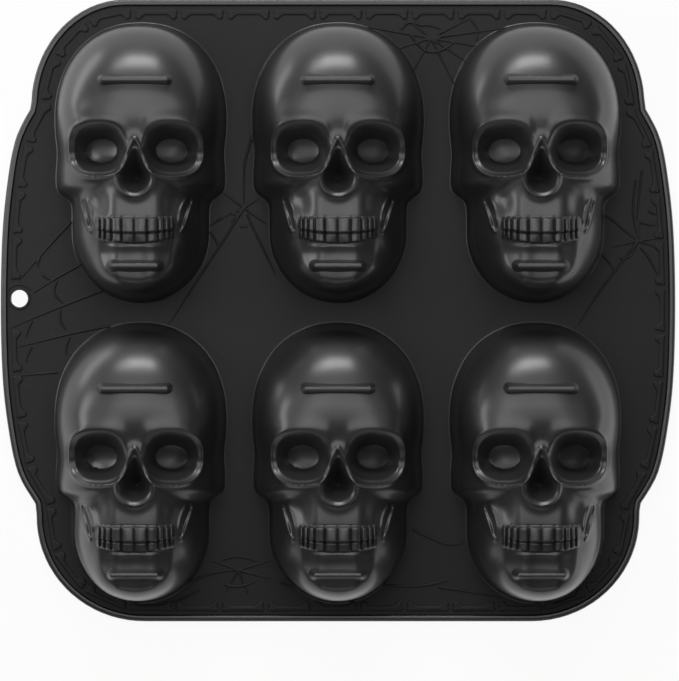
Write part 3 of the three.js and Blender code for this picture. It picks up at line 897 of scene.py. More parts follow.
@dataclass(frozen=True)
class SkullForm:
    """Outer surface of a skull above the deck."""

    outline: SkullOutline = SkullOutline()
    pole_y: float = -6.0
    wall_share: float = 0.3
    wall_reach: float = 1.6
    dome_power: float = 2.5
    crown_reach: float = 40.0
    side_reach: float = 26.0
    jaw_reach: float = 20.0
    chin_reach: float = 10.0
    crown_from_y: float = 20.0
    jaw_from_y: float = -8.0
    jaw_full_y: float = -26.0
    chin_from_y: float = -50.0
    chin_full_y: float = -63.0
    middle_height: Pairs = (
        (-66, 37.0), (-52, 38.4), (-45, 38.4), (-38, 40.2), (-28, 41.4), (-6, 39.8),
        (4, 39.4), (19, 42.4), (28, 42.8), (36, 42.3), (46, 41.0), (66, 38.0),
    )
    side_fall: Pairs = ((-66, 4.0), (-36, 6.8), (-20, 5.0), (-6, 3.4), (10, 2.6), (66, 3.2))
    fall_x: float = 27.0
    fall_power: float = 2.2
    brow_dip: float = 1.2
    dip_y: float = 13.0
    dip_half: float = 7.0
    draft: float = 0.13
    draft_height: float = 13.0
    trace_points: int = 1440
    features: tuple[Feature, ...] = (Eyes(), Nose(), Cheeks(), Teeth(), Chin())

    def face_height(self, x: np.ndarray, y: np.ndarray) -> np.ndarray:
        """Return the plain height of the face, before its wall and its features."""
        fall = along(self.side_fall, y) * (np.abs(x) / self.fall_x) ** self.fall_power
        return along(self.middle_height, y) - fall

    def reach(self, y: np.ndarray) -> np.ndarray:
        """Return how far in from its foot the wall reaches full height.

        Args:
            y: Places along, at the wall's foot.

        Returns:
            The distance at each place.
        """
        crown = smooth(self.crown_from_y, self.outline.end_y, y)
        jaw = smooth(self.jaw_from_y, self.jaw_full_y, y)
        chin = smooth(self.chin_from_y, self.chin_full_y, y)
        reach = self.side_reach + (self.crown_reach - self.side_reach) * crown
        reach += (self.jaw_reach - self.side_reach) * jaw
        return reach + (self.chin_reach - self.jaw_reach) * chin

    def share(self, inset: np.ndarray, reach: np.ndarray) -> np.ndarray:
        """Return the share of the full height at a distance in from the wall's foot.

        Args:
            inset: Distances in from the foot.
            reach: Distance in at which the wall is full.

        Returns:
            The share at each distance, from 0 to 1.
        """
        wall = np.clip(1.0 - inset / self.wall_reach, 0.0, 1.0)
        dome = np.clip(1.0 - inset / reach, 0.0, 1.0)
        steep = self.wall_share * np.sqrt(1.0 - wall**2)
        return steep + (1.0 - self.wall_share) * np.sqrt(1.0 - dome**self.dome_power)

    def relief(self, x: np.ndarray, y: np.ndarray) -> np.ndarray:
        """Return what all the features together add to the plain height."""
        dip = self.brow_dip * bell(x, self.dip_half) * bell(y - self.dip_y, self.dip_half)
        return sum(feature.relief(x, y) for feature in self.features) - dip

    def plain(self, foot: np.ndarray, inset: np.ndarray) -> np.ndarray:
        """Place points on the plain surface.

        Args:
            foot: Outline points, one for each column.
            inset: Distance in from the foot towards the pole, one for each column.

        Returns:
            The points, one for each column.
        """
        pole = np.array([0.0, self.pole_y])
        away = foot - pole
        radius = np.hypot(*away.T)
        plan = pole + away * (1.0 - inset / radius)[:, None]
        height = self.share(inset, self.reach(foot[:, 1])) * self.face_height(*plan.T)
        lean = self.draft * np.clip(height, 0.0, self.draft_height)
        lean *= np.clip((radius - inset) / self.draft_height, 0.0, 1.0)
        return np.column_stack([plan - away * (lean / radius)[:, None], height])

    def height_at(self, x: np.ndarray, y: np.ndarray) -> np.ndarray:
        """Return the height of the finished surface at places in plan.

        Args:
            x: Places across.
            y: Places along.

        Returns:
            The height at each place, above the deck.
        """
        ring = self.outline.points(self.trace_points)
        away = ring - (0.0, self.pole_y)
        angle = np.arctan2(away[:, 1], away[:, 0])
        order = np.argsort(angle)
        here = np.arctan2(y - self.pole_y, x)
        radius = np.interp(here, angle[order], np.hypot(*away.T)[order], period=2.0 * math.pi)
        foot_y = np.interp(here, angle[order], ring[order, 1], period=2.0 * math.pi)
        inset = radius - np.hypot(x, y - self.pole_y) - self.draft * self.draft_height
        return self.share(inset, self.reach(foot_y)) * self.face_height(x, y) + self.relief(x, y)


@dataclass
class SkullCups:
    """Six thin cups, each a skull outside and in, that rise from the deck with a small fillet."""

    levels: Levels
    form: SkullForm = field(default_factory=SkullForm)
    wall: float = 1.8
    fillet: float = 1.1
    seat: float = 0.03
    columns: int = 440
    fine_columns: int = 3520
    chin_columns: float = 1.1
    chin_half: float = 26.0
    chin_y: Point = (-40.0, -56.0)
    face_rings: int = 150
    fine_rings: int = 400
    teeth_rings: float = 0.8
    teeth_share: float = 0.52
    teeth_spread: float = 0.13
    wall_rings: int = 20
    wall_span: float = 6.0
    wall_crowding: float = 2.2
    relief_from: float = 3.0
    fillet_rings: int = 7
    inner_face_rings: int = 26
    inner_wall_rings: int = 9
    probe: float = 0.05
    crease: float = 42.0

    def insets(self, foot: np.ndarray, face_rings: int, wall_rings: int) -> list[np.ndarray]:
        """Spread rings from the pole to the foot of the wall, close together on the wall.

        Args:
            foot: Outline points, one for each column.
            face_rings: Rings between the pole and the wall.
            wall_rings: Rings on the wall.

        Returns:
            For each ring, its distance in from the foot at each column.
        """
        radius = np.hypot(foot[:, 0], foot[:, 1] - self.form.pole_y)
        fine = np.linspace(0.0, 1.0, self.fine_rings)
        crowd = np.cumsum(1.0 + self.teeth_rings * bell(fine - self.teeth_share, self.teeth_spread))
        places = np.linspace(crowd[0], crowd[-1], face_rings + 1)[1:]
        shares = np.interp(places, crowd, fine)
        face = [radius + (self.wall_span - radius) * share for share in shares]
        wall = [
            np.full_like(radius, self.wall_span * (1.0 - k / wall_rings) ** self.wall_crowding)
            for k in range(1, wall_rings + 1)
        ]
        return face + wall

    def foot(self) -> np.ndarray:
        """Return the outline's points, closer together at the chin than elsewhere.

        Returns:
            The points, anticlockwise from the crown.
        """
        fine = self.form.outline.points(self.fine_columns)
        at_chin = bell(fine[:, 0], self.chin_half) * smooth(*self.chin_y, fine[:, 1])
        crowd = np.cumsum(1.0 + self.chin_columns * at_chin)
        places = np.linspace(crowd[0], crowd[-1], self.columns + 1)[:-1]
        return np.stack([np.interp(places, crowd, fine[:, k]) for k in (0, 1)], 1)

    def outer(self, foot: np.ndarray, inset: np.ndarray) -> np.ndarray:
        """Return a ring of the finished outer surface.

        Args:
            foot: Outline points, one for each column.
            inset: Distance in from the foot at each column.

        Returns:
            The ring's points.
        """
        points = self.form.plain(foot, inset)
        fade = smooth(0.0, self.relief_from, inset)
        points[:, 2] += fade * self.form.relief(points[:, 0], points[:, 1])
        return points

    def inner(self, foot: np.ndarray, inset: np.ndarray) -> np.ndarray:
        """Return a ring of the inner surface, a wall's thickness in from the outer one.

        Args:
            foot: Outline points, one for each column.
            inset: Distance in from the foot at each column.

        Returns:
            The ring's points.
        """
        out = self.form.plain(foot, np.maximum(inset - self.probe, 0.0))
        into = self.form.plain(foot, inset + self.probe)
        here = self.form.plain(foot, inset)
        ahead = np.roll(here, -1, 0) - np.roll(here, 1, 0)
        normal = np.cross(out - into, ahead)
        normal /= np.linalg.norm(normal, axis=1)[:, None]
        return self.outer(foot, inset) - normal * self.wall

    def fillet_points(self, foot: np.ndarray) -> list[np.ndarray]:
        """Return the rings of the fillet at the foot of the wall, then of the flange's edge.

        Args:
            foot: Outline points, one for each column.

        Returns:
            The rings, downwards.
        """
        outward = outward_from(foot)
        rings = []
        for k in range(self.fillet_rings):
            angle = math.pi / 2.0 * (k + 1) / self.fillet_rings
            out = self.fillet * (1.0 - math.cos(angle))
            height = self.fillet * (1.0 - math.sin(angle)) - self.seat * (k + 1) / self.fillet_rings
            rings.append(np.column_stack([foot + outward * out, np.full(len(foot), height)]))
        edge = foot + outward * self.fillet
        under = -self.levels.deck_thickness - self.seat
        rings.append(np.column_stack([edge, np.full(len(foot), under)]))
        return rings

    def model(self, name: str) -> bpy.types.Object:
        """Shape one cup, with its middle at the origin and its foot on the deck.

        Args:
            name: Name of the new object.

        Returns:
            The cup.
        """
        foot = self.foot()
        outer_insets = self.insets(foot, self.face_rings, self.wall_rings)
        inner_insets = self.insets(foot, self.inner_face_rings, self.inner_wall_rings)
        outside = [self.outer(foot, inset) for inset in outer_insets]
        outside = [ring for ring in outside if ring[:, 2].max() > self.fillet]
        for ring in outside:
            ring[:, 2] = np.maximum(ring[:, 2], self.fillet)
        inside = [self.inner(foot, inset) for inset in inner_insets]
        under = -self.levels.deck_thickness - self.seat
        mouth = inside[-1].copy()
        mouth[:, 2] = under
        rings = outside + self.fillet_points(foot) + [mouth] + inside[::-1]
        lift(rings, self.levels.deck_top)
        cup = shape_sphere(name, rings)
        round_off(cup, self.crease)
        return cup

    def build(self, finish: bpy.types.Material) -> None:
        """Set a cup in each of the six places of the frame.

        Args:
            finish: Material of the silicone here.
        """
        model = self.model("skull_model")
        for row in Row:
            for column in Column:
                place = place_name(row, column)
                cup = copy_to(model, f"skull_{place}", cup_place(row, column))
                settle(cup, finish, f"skull_cup_{place}")
        bpy.data.objects.remove(model)


@dataclass(frozen=True)
class Bar:
    """Place and size of one foot bar's top, and how far its sides run out for each millimetre down."""

    y: float
    length: float
    width: float
    draft: float


@dataclass
class FootBars:
    """Level bars on the foreheads and chins that the mould stands on when it is filled."""

    levels: Levels
    form: SkullForm = field(default_factory=SkullForm)
    forehead: Bar = Bar(36.2, 31.2, 2.1, 0.28)
    chin: Bar = Bar(-49.3, 22.2, 2.0, 0.3)
    top_height: float = 45.0
    end_columns: int = 16
    side_columns: int = 36
    crown: float = 0.4
    crown_rings: int = 7
    side_rings: int = 8
    flare: float = 0.4
    flare_power: int = 6
    sunk: float = 0.5
    passes: int = 3
    crease: float = 60.0

    def rounded(self, reach: float, radius: float, y: float) -> np.ndarray:
        """Return a round-ended outline, anticlockwise.

        Args:
            reach: Distance from the middle to the centre of each round end.
            radius: Radius of the round ends.
            y: Place of the middle along the skull.

        Returns:
            The outline's points.
        """
        turn = np.linspace(-math.pi / 2.0, math.pi / 2.0, self.end_columns)
        slide = np.linspace(reach, -reach, self.side_columns + 2)[1:-1]
        right = np.stack([reach + radius * np.cos(turn), radius * np.sin(turn)], 1)
        upper = np.stack([slide, np.full_like(slide, radius)], 1)
        half = np.vstack([right, upper])
        return np.vstack([half, -half]) + (0.0, y)

    def model(self, name: str, size: Bar) -> bpy.types.Object:
        """Shape one bar down to the skull that carries it.

        Args:
            name: Name of the new object.
            size: Place and size of the bar.

        Returns:
            The bar, with the skull's middle at the origin.
        """
        y, draft = size.y, size.draft
        reach = (size.length - size.width) / 2.0
        half = size.width / 2.0
        rings = []
        for k in range(1, self.crown_rings + 1):
            angle = math.pi / 2.0 * k / self.crown_rings
            edge = self.rounded(reach, half * math.sin(angle), y)
            drop = self.crown * (1.0 - math.cos(angle))
            rings.append(np.column_stack([edge, np.full(len(edge), self.top_height - drop)]))
        top = self.top_height - self.crown
        for k in range(1, self.side_rings + 1):
            share = k / self.side_rings
            plan = self.rounded(reach, half, y)
            for _ in range(self.passes):
                ground = self.form.height_at(*plan.T)
                drop = (top - ground) * share
                grown = half + draft * drop + self.flare * share**self.flare_power
                centre = np.clip(plan[:, 0], -reach, reach)
                away = plan - np.column_stack([centre, np.full(len(plan), y)])
                away /= np.maximum(np.hypot(*away.T), TINY)[:, None]
                plan = np.column_stack([centre, np.full(len(plan), y)]) + away * grown[:, None]
            rings.append(np.column_stack([plan, top - drop - self.sunk * share**self.flare_power]))
        rings.append(rings[-1] - (0.0, 0.0, self.sunk))
        lift(rings, self.levels.deck_top)
        bar = shape_sphere(name, rings)
        round_off(bar, self.crease)
        return bar

    def build(self, finish: bpy.types.Material) -> None:
        """Set a forehead bar and a chin bar on each skull.

        Args:
            finish: Material of the silicone here.
        """
        models = {
            "forehead": self.model("forehead_model", self.forehead),
            "chin": self.model("chin_model", self.chin),
        }
        for part, model in models.items():
            for row in Row:
                for column in Column:
                    place = place_name(row, column)
                    bar = copy_to(model, f"{part}_bar_{place}", cup_place(row, column))
                    settle(bar, finish, f"{part}_foot_{place}")
            bpy.data.objects.remove(model)


# The tray


@dataclass
class Rim:
    """Round-backed bead round the tray, with a low ridge and a groove beside the deck."""

    levels: Levels
    outline: TrayOutline = field(default_factory=TrayOutline)
    rounding: float = 1.5
    ridge_width: float = 2.9
    bead_width: float = 4.6
    groove_depth: float = 0.5
    corner: float = 0.35
    crown_flat: float = 0.5
    crown_fall: float = 0.04
    shoulder_in: float = 0.15
    shoulder_down: float = 0.55
    shoulder_radius: float = 0.45
    shoulder_turn: Point = (100.0, 172.0)
    slack: float = 0.02
    arc_steps: int = 6
    course_steps: int = 900
    crease: float = 50.0

    def arc(self, centre: Point, radius: float, start: float, end: float) -> list[Point]:
        """Return points of an arc in the section, with angles in degrees from the outward side."""
        angles = np.radians(np.linspace(start, end, self.arc_steps))
        return [(centre[0] - radius * math.cos(a), centre[1] + radius * math.sin(a)) for a in angles]

    def section(self) -> np.ndarray:
        """Return the section as insets and heights, from its outer side over its top.

        Returns:
            Rows of inset and height.
        """
        top, under = self.levels.rim_top, self.levels.deck_under
        crest = (self.rounding, top - self.rounding)
        groove = self.levels.deck_top - self.groove_depth
        ridge_end = self.ridge_width - self.corner
        points = self.arc(crest, self.rounding, 0.0, 90.0)
        shoulder = (ridge_end - self.shoulder_in, top - self.shoulder_down)
        points += [(self.rounding + self.crown_flat, top - self.crown_fall)]
        points += self.arc(shoulder, self.shoulder_radius, *self.shoulder_turn)
        points += [(self.ridge_width - self.slack, groove), (self.ridge_width, under + self.slack)]
        points += [(self.bead_width - self.corner, under - self.slack)]
        points += [(self.bead_width, under - self.corner), (self.bead_width, self.corner)]
        points += [(self.bead_width - self.corner, 0.0)]
        points += self.arc((self.rounding, self.rounding), self.rounding, -90.0, 0.0)[:-1]
        return np.array(points)

    def build(self, finish: bpy.types.Material) -> None:
        """Sweep the section round the tray.

        Args:
            finish: Material of the silicone here.
        """
        rim = shape_torus("rim", self.outline.swept(self.section(), self.course_steps))
        round_off(rim, self.crease)
        settle(rim, finish, "rim_bead")


@dataclass
class Deck:
    """Flat web between the skulls and the rim, with the hanging hole in its left grip."""

    levels: Levels
    outline: TrayOutline = field(default_factory=TrayOutline)
    skull: SkullOutline = field(default_factory=SkullOutline)
    inset: float = 3.05
    under_fillet: float = 0.65
    edge: float = 0.3
    rim_points: int = 900
    skull_points: int = 360
    hole_points: int = 96
    hole_diameter: float = 8.2
    hole_inset: float = 8.9
    hole_y: float = 5.6
    crease: float = 20.0

    @property
    def hole_centre(self) -> Point:
        """Return the middle of the hanging hole."""
        return self.hole_inset - self.outline.width / 2.0, self.hole_y

    def loops(self) -> list[np.ndarray]:
        """Return the outer loop, the six skull openings and the hanging hole.

        Returns:
            The loops, each as points in plan.
        """
        foot = self.skull.points(self.skull_points)
        opening = foot + outward_from(foot) * self.under_fillet
        openings = [opening + cup_place(row, column) for row in Row for column in Column]
        turn = np.linspace(0.0, 2.0 * math.pi, self.hole_points, endpoint=False)
        hole = np.stack([np.cos(turn), np.sin(turn)], 1) * self.hole_diameter / 2.0 + self.hole_centre
        return [self.outline.line(self.inset, self.rim_points), *openings, hole]

    def build(self, finish: bpy.types.Material) -> None:
        """Fill the loops as one flat curve, give it its thickness and make it a mesh.

        Args:
            finish: Material of the silicone here.
        """
        curve = bpy.data.curves.new("deck_web", "CURVE")
        curve.dimensions = "2D"
        curve.fill_mode = "BOTH"
        curve.bevel_depth = self.edge * MILLIMETRE
        curve.bevel_resolution = 1
        curve.offset = -self.edge * MILLIMETRE
        curve.extrude = (self.levels.deck_thickness / 2.0 - self.edge) * MILLIMETRE
        for loop in self.loops():
            add_spline(curve, "POLY", loop).use_cyclic_u = True
        piece = mesh_from(curve)
        middle = (self.levels.deck_under + self.levels.deck_thickness / 2.0) * MILLIMETRE
        piece.data.transform(Matrix.Translation((0.0, 0.0, middle)))
        close_up(piece)
        round_off(piece, self.crease)
        settle(piece, finish, "deck")


@dataclass
class Eyelet:
    """Flat-topped collar round the hanging hole, with a raised arc over it."""

    levels: Levels
    deck: Deck
    collar_width: float = 1.2
    collar_rise: float = 0.6
    arc_radius: float = 6.7
    arc_half: float = 0.55
    arc_rise: float = 0.4
    arc_from: float = 35.0
    arc_to: float = 150.0
    steps: int = 96
    sides: int = 16
    squareness: float = 0.5
    crease: float = 60.0

    def collar(self) -> bpy.types.Object:
        """Shape the collar as a bead with a squared section along a circle about the hole.

        Returns:
            The collar.
        """
        half = self.collar_width / 2.0
        radius = self.deck.hole_diameter / 2.0 + half
        turn = np.linspace(0.0, 2.0 * math.pi, self.steps, endpoint=False)
        around = np.linspace(0.0, 2.0 * math.pi, self.sides, endpoint=False)
        out = np.sign(np.cos(around)) * np.abs(np.cos(around)) ** self.squareness * half
        up = np.sign(np.sin(around)) * np.abs(np.sin(around)) ** self.squareness * self.collar_rise
        reach = radius + out[None, :]
        x = self.deck.hole_centre[0] + reach * np.cos(turn)[:, None]
        y = self.deck.hole_centre[1] + reach * np.sin(turn)[:, None]
        z = np.broadcast_to(self.levels.deck_top + up[None, :], x.shape)
        return shape_torus("hang_collar", np.stack([x, y, z], 2))

    def arc(self) -> bpy.types.Object:
        """Shape the arc as a strand that follows a part of a wider circle.

        Returns:
            The arc.
        """
        there = np.radians(np.linspace(self.arc_from, self.arc_to, self.steps))
        course = np.stack([np.cos(there), np.sin(there)], 1) * self.arc_radius + self.deck.hole_centre
        return Strand(self.levels.deck_top, self.arc_half, self.arc_rise).model("hang_arc", [course])

    def build(self, finish: bpy.types.Material) -> None:
        """Set the collar and the arc on the deck.

        Args:
            finish: Material of the silicone here.
        """
        for piece in (self.collar(), self.arc()):
            round_off(piece, self.crease)
            settle(piece, finish)


# Ornament of the deck


@dataclass(frozen=True)
class Strand:
    """Rounded raised line on the deck, sunk to half its depth in it."""

    ground: float
    half: float = 0.66
    rise: float = 0.75
    taper: float = 0.6
    roundness: int = 2
    smoothness: int = 8
    order: int = 3
    voxel: float = 0.28

    def model(self, name: str, courses: list[np.ndarray]) -> bpy.types.Object:
        """Shape strands along courses and melt them together where they meet.

        Args:
            name: Name of the new object.
            courses: Points in plan of each strand, from end to end.

        Returns:
            The strands as one closed mesh.
        """
        curve = bpy.data.curves.new(name, "CURVE")
        curve.dimensions = "3D"
        curve.bevel_depth = self.half * MILLIMETRE
        curve.bevel_resolution = self.roundness
        curve.resolution_u = self.smoothness
        curve.use_fill_caps = True
        for course in courses:
            spline = add_spline(curve, "NURBS", course)
            spline.order_u = min(self.order, len(course))
            spline.use_endpoint_u = True
            spline.points[-1].radius = self.taper
        piece = mesh_from(curve)
        finish_modifier(piece, "REMESH", mode="VOXEL", voxel_size=self.voxel * MILLIMETRE)
        places = vertices_of(piece) / MILLIMETRE
        places[:, 2] = places[:, 2] * self.rise / self.half + self.ground
        move_vertices(piece, places * MILLIMETRE)
        return piece


@dataclass(frozen=True)
class PhotoScale:
    """Turns places read in the photograph, in its pixels, into places on the deck."""

    pixel: float = 0.474
    middle: Point = (338.0, 310.4)

    def plan(self, points: Pairs) -> np.ndarray:
        """Return places on the deck in millimetres."""
        return (np.array(points, float) - self.middle) * (self.pixel, -self.pixel)


@dataclass(frozen=True)
class Web:
    """One cobweb: where its spokes meet, where they end, and the threads that cross them."""

    name: str
    hub: Point = (0.0, 0.0)
    spokes: Pairs = ()
    threads: tuple[Pairs, ...] = ()
    crease: float = 70.0

    def build(self, finish: bpy.types.Material, levels: Levels, scale: PhotoScale) -> None:
        """Shape the web on the deck.

        Args:
            finish: Material of the silicone here.
            levels: Heights of the tray.
            scale: Scale at which the web's points were read.
        """
        lines = [(self.hub, end) for end in self.spokes] + list(self.threads)
        piece = Strand(levels.deck_top).model(self.name, [scale.plan(line) for line in lines])
        round_off(piece, self.crease)
        settle(piece, finish)


WEBS = (
    Web(
        "web_top",
        hub=(431, 38),
        spokes=(
            (368, 27), (397, 49), (414, 70), (454, 84), (464, 60),
            (475, 46), (512, 27), (470, 18), (407, 20),
        ),
        threads=(
            ((401, 30), (407, 20), (422, 26), (428, 24), (441, 29)),
            ((471, 20), (480, 28), (476, 41)),
            ((410, 34), (416, 43), (426, 52), (438, 52), (450, 46), (454, 42)),
        ),
    ),
    Web(
        "web_left",
        threads=(
            ((71, 222), (53, 241), (19, 280)),
            ((80, 265), (53, 279), (33, 293)),
            ((102, 291), (60, 306), (10, 328)),
            ((110, 326), (77, 332), (69, 334), (17, 347)),
            ((58, 372), (15, 376)),
            ((40, 258), (36, 263), (39, 268)),
            ((42, 274), (46, 279), (53, 279)),
            ((57, 281), (52, 290), (58, 300), (65, 304)),
            ((61, 310), (59, 317), (61, 323), (66, 330)),
            ((70, 337), (65, 346), (66, 355)),
            ((32, 321), (27, 330), (26, 337)),
            ((32, 347), (27, 353), (26, 362)),
        ),
    ),
    Web(
        "web_middle",
        hub=(244, 208),
        spokes=((258, 199), (222, 218), (231, 222), (266, 224), (222, 192)),
        threads=(
            ((252, 135), (248, 150), (243, 168), (244, 208)),
            ((252, 135), (256, 145), (255, 155)),
            ((222, 218), (216, 222), (210, 226)),
            ((240, 226), (244, 227), (248, 226)),
            ((230, 212), (234, 215), (238, 214)),
            ((210, 232), (216, 240), (219, 248)),
            ((247, 214), (250, 222), (268, 258), (275, 275)),
            ((244, 208), (210, 262), (168, 325)),
        ),
    ),
    Web(
        "web_right",
        hub=(638, 241),
        spokes=((664, 237), (657, 247), (632, 256), (640, 222), (612, 247)),
        threads=(
            ((641, 248), (647, 254), (652, 264), (658, 275)),
            ((636, 180), (633, 200), (633, 218), (638, 241)),
            ((642, 170), (639, 195), (637, 220)),
            ((640, 222), (648, 225), (656, 225)),
            ((648, 210), (652, 214), (656, 214)),
            ((620, 258), (626, 259), (632, 256)),
            ((605, 216), (612, 219), (626, 232), (638, 241)),
            ((602, 255), (610, 262), (614, 271)),
            ((638, 241), (616, 270), (597, 295), (578, 325)),
        ),
    ),
    Web(
        "web_low",
        hub=(238, 570),
        spokes=((210, 560), (272, 560), (271, 579), (226, 592), (248, 594)),
        threads=(
            ((182, 586), (198, 577), (226, 570), (238, 570)),
            ((224, 584), (232, 587), (244, 586), (256, 581)),
            ((222, 560), (232, 556), (246, 557), (258, 562)),
            ((280, 582), (288, 587), (296, 586)),
            ((142, 606), (160, 607), (182, 600), (200, 590)),
        ),
    ),
    Web(
        "web_strands",
        threads=(
            ((412, 529), (432, 539), (450, 546), (463, 543)),
            ((382, 585), (410, 587), (435, 584), (448, 580)),
            ((438, 587), (465, 590), (500, 598)),
        ),
    ),
)


@dataclass
class BoneBorder:
    """Low relief of bones laid end to end inside the rim, left out beside the hanging hole."""

    levels: Levels
    deck: Deck
    outline: TrayOutline = field(default_factory=TrayOutline)
    inset: float = 6.8
    pitch: float = 22.1
    start: float = -1.3
    rise: float = 0.75
    squareness: float = 0.55
    shaft_radius: float = 1.25
    shaft_length: float = 17.0
    shaft_out: float = 0.6
    lobes: tuple[tuple[float, float, float], ...] = (
        (8.3, -1.15, 1.65), (9.0, 0.85, 1.25), (6.6, -0.1, 1.35),
    )
    facets: int = 24
    lobe_rings: int = 16
    voxel: float = 0.25
    kept_share: float = 0.3
    crease: float = 70.0
    line_points: int = 4000
    hole_room: float = 14.0

    def model(self) -> bpy.types.Object:
        """Melt a shaft and three lobes at each end into one bone that lies along X.

        Returns:
            The bone, with its middle at the origin.
        """
        deselect_all()
        bpy.ops.mesh.primitive_cylinder_add(
            vertices=self.facets, radius=self.shaft_radius * MILLIMETRE,
            depth=self.shaft_length * MILLIMETRE, rotation=(0.0, math.pi / 2.0, 0.0),
            location=(0.0, self.shaft_out * MILLIMETRE, 0.0),
        )
        parts = [bpy.context.object]
        for side in (-1, 1):
            for along_it, across, radius in self.lobes:
                bpy.ops.mesh.primitive_uv_sphere_add(
                    segments=self.facets, ring_count=self.lobe_rings, radius=radius * MILLIMETRE,
                    location=(side * along_it * MILLIMETRE, across * MILLIMETRE, 0.0),
                )
                parts.append(bpy.context.object)
        choose(*parts)
        bpy.ops.object.join()
        bpy.ops.object.transform_apply(location=True, rotation=True, scale=True)
        bone = bpy.context.object
        bone.name = "bone_model"
        finish_modifier(bone, "REMESH", mode="VOXEL", voxel_size=self.voxel * MILLIMETRE)
        finish_modifier(bone, "DECIMATE", ratio=self.kept_share)
        return bone

    def build(self, finish: bpy.types.Material) -> None:
        """Bend copies of the bone along a line inside the rim and join them.

        Args:
            finish: Material of the silicone here.
        """
        model = self.model()
        shape = vertices_of(model) / MILLIMETRE
        line = self.outline.line(self.inset, self.line_points)
        outward = outward_from(line)
        length = np.hypot(*(close_course(line)[1:] - line).T).sum()
        places = np.arange(self.line_points) * length / self.line_points
        top = places[np.argmin(np.abs(line[:, 0]) - line[:, 1])] + self.start
        count = round(length / self.pitch)
        bones = []
        for k in range(count):
            here = top + k * length / count + shape[:, 0]
            plan = [
                np.interp(here, places, line[:, axis], period=length)
                + shape[:, 1] * np.interp(here, places, outward[:, axis], period=length)
                for axis in (0, 1)
            ]
            middle = np.array([plan[0].mean(), plan[1].mean()])
            if np.hypot(*(middle - self.deck.hole_centre)) < self.hole_room:
                continue
            bone = copy_to(model, f"bone_{k}", (0.0, 0.0))
            share = np.clip(shape[:, 2] / self.shaft_radius, -1.0, 1.0)
            height = np.sign(share) * np.abs(share) ** self.squareness * self.rise
            move_vertices(bone, np.column_stack([*plan, self.levels.deck_top + height]) * MILLIMETRE)
            bones.append(bone)
        bpy.data.objects.remove(model)
        choose(*bones)
        bpy.ops.object.join()
        border = bpy.context.object
        border.name = "bone_border"
        border.data.name = "bone_border"
        # Outward lies to the right of the line's course, so the bent copies come out mirrored.
        close_up(border)
        round_off(border, self.crease)
        settle(border, finish)


# Shader nodes


def set_inputs(node: bpy.types.Node, values: dict[str | int, object]) -> None:
    """Set the defaults of a node's inputs."""
    for socket, value in values.items():
        node.inputs[socket].default_value = value


def add_node(
    tree: bpy.types.NodeTree, kind: str, inputs: dict[str | int, object] | None = None, **settings: object
) -> bpy.types.Node:
    """Add a node to a tree and set it up.

    Args:
        tree: Node tree that it is added to.
        kind: Blender's name for the node's type.
        inputs: Defaults of its inputs, by their names or places.
        **settings: Values of the node's own properties.

    Returns:
        The new node.
    """
    node = tree.nodes.new(kind)
    for name, value in settings.items():
        setattr(node, name, value)
    set_inputs(node, inputs or {})
    return node


def link_all(tree: bpy.types.NodeTree, *pairs: tuple[bpy.types.NodeSocket, bpy.types.NodeSocket]) -> None:
    """Link the output of each pair to its input."""
    for output, target in pairs:
        tree.links.new(output, target)


def start_material(name: str, inputs: dict[str, object]) -> bpy.types.Material:
    """Start a material on a Principled BSDF.

    Args:
        name: Name of the material.
        inputs: Defaults of the shader's inputs.

    Returns:
        The material.
    """
    material = bpy.data.materials.new(name)
    material.use_nodes = True
    set_inputs(material.node_tree.nodes["Principled BSDF"], inputs)
    return material


def white_seen(tree: bpy.types.NodeTree) -> bpy.types.NodeSocket:
    """Return a socket of a tree that is one for glossy and transmission rays, and zero for others.

    Args:
        tree: Node tree that the nodes are added to.

    Returns:
        The socket.
    """
    path = add_node(tree, "ShaderNodeLightPath")
    either = add_node(tree, "ShaderNodeMath", operation="MAXIMUM")
    link_all(
        tree,
        (path.outputs["Is Glossy Ray"], either.inputs[0]),
        (path.outputs["Is Transmission Ray"], either.inputs[1]),
    )
    return either.outputs["Value"]


# Camera, lights and floor


@dataclass(frozen=True)
class PhotoCamera:
    """Camera straight above the mould, a little off the middle of its picture."""

    height: float = 1.3462
    lens: float = 149.4
    sensor: float = 36.0
    shift: Point = (0.0022, -0.0442)
    clip: Point = (0.01, 50.0)

    def build(self) -> None:
        """Add the camera and make it the scene's own."""
        data = bpy.data.cameras.new("photo_camera")
        data.lens = self.lens
        data.sensor_width = self.sensor
        data.shift_x, data.shift_y = self.shift
        data.clip_start, data.clip_end = self.clip
        camera = bpy.data.objects.new("photo_camera", data)
        camera.location = (0.0, 0.0, self.height)
        bpy.context.scene.collection.objects.link(camera)
        bpy.context.scene.camera = camera


@dataclass(frozen=True)
class SoftBox:
    """One rectangular lamp that is turned towards a point of the mould."""

    name: str
    place: tuple[float, float, float]
    size: Point
    power: float
    aim: tuple[float, float, float] = (0.0, 0.0, 0.03)

    def build(self) -> None:
        """Add the lamp, unseen by the camera."""
        data = bpy.data.lights.new(self.name, "AREA")
        data.shape = "RECTANGLE"
        data.size, data.size_y = self.size
        data.energy = self.power
        lamp = bpy.data.objects.new(self.name, data)
        lamp.location = self.place
        towards = Vector(self.aim) - Vector(self.place)
        lamp.rotation_euler = towards.to_track_quat("-Z", "Y").to_euler()
        lamp.visible_camera = False
        bpy.context.scene.collection.objects.link(lamp)


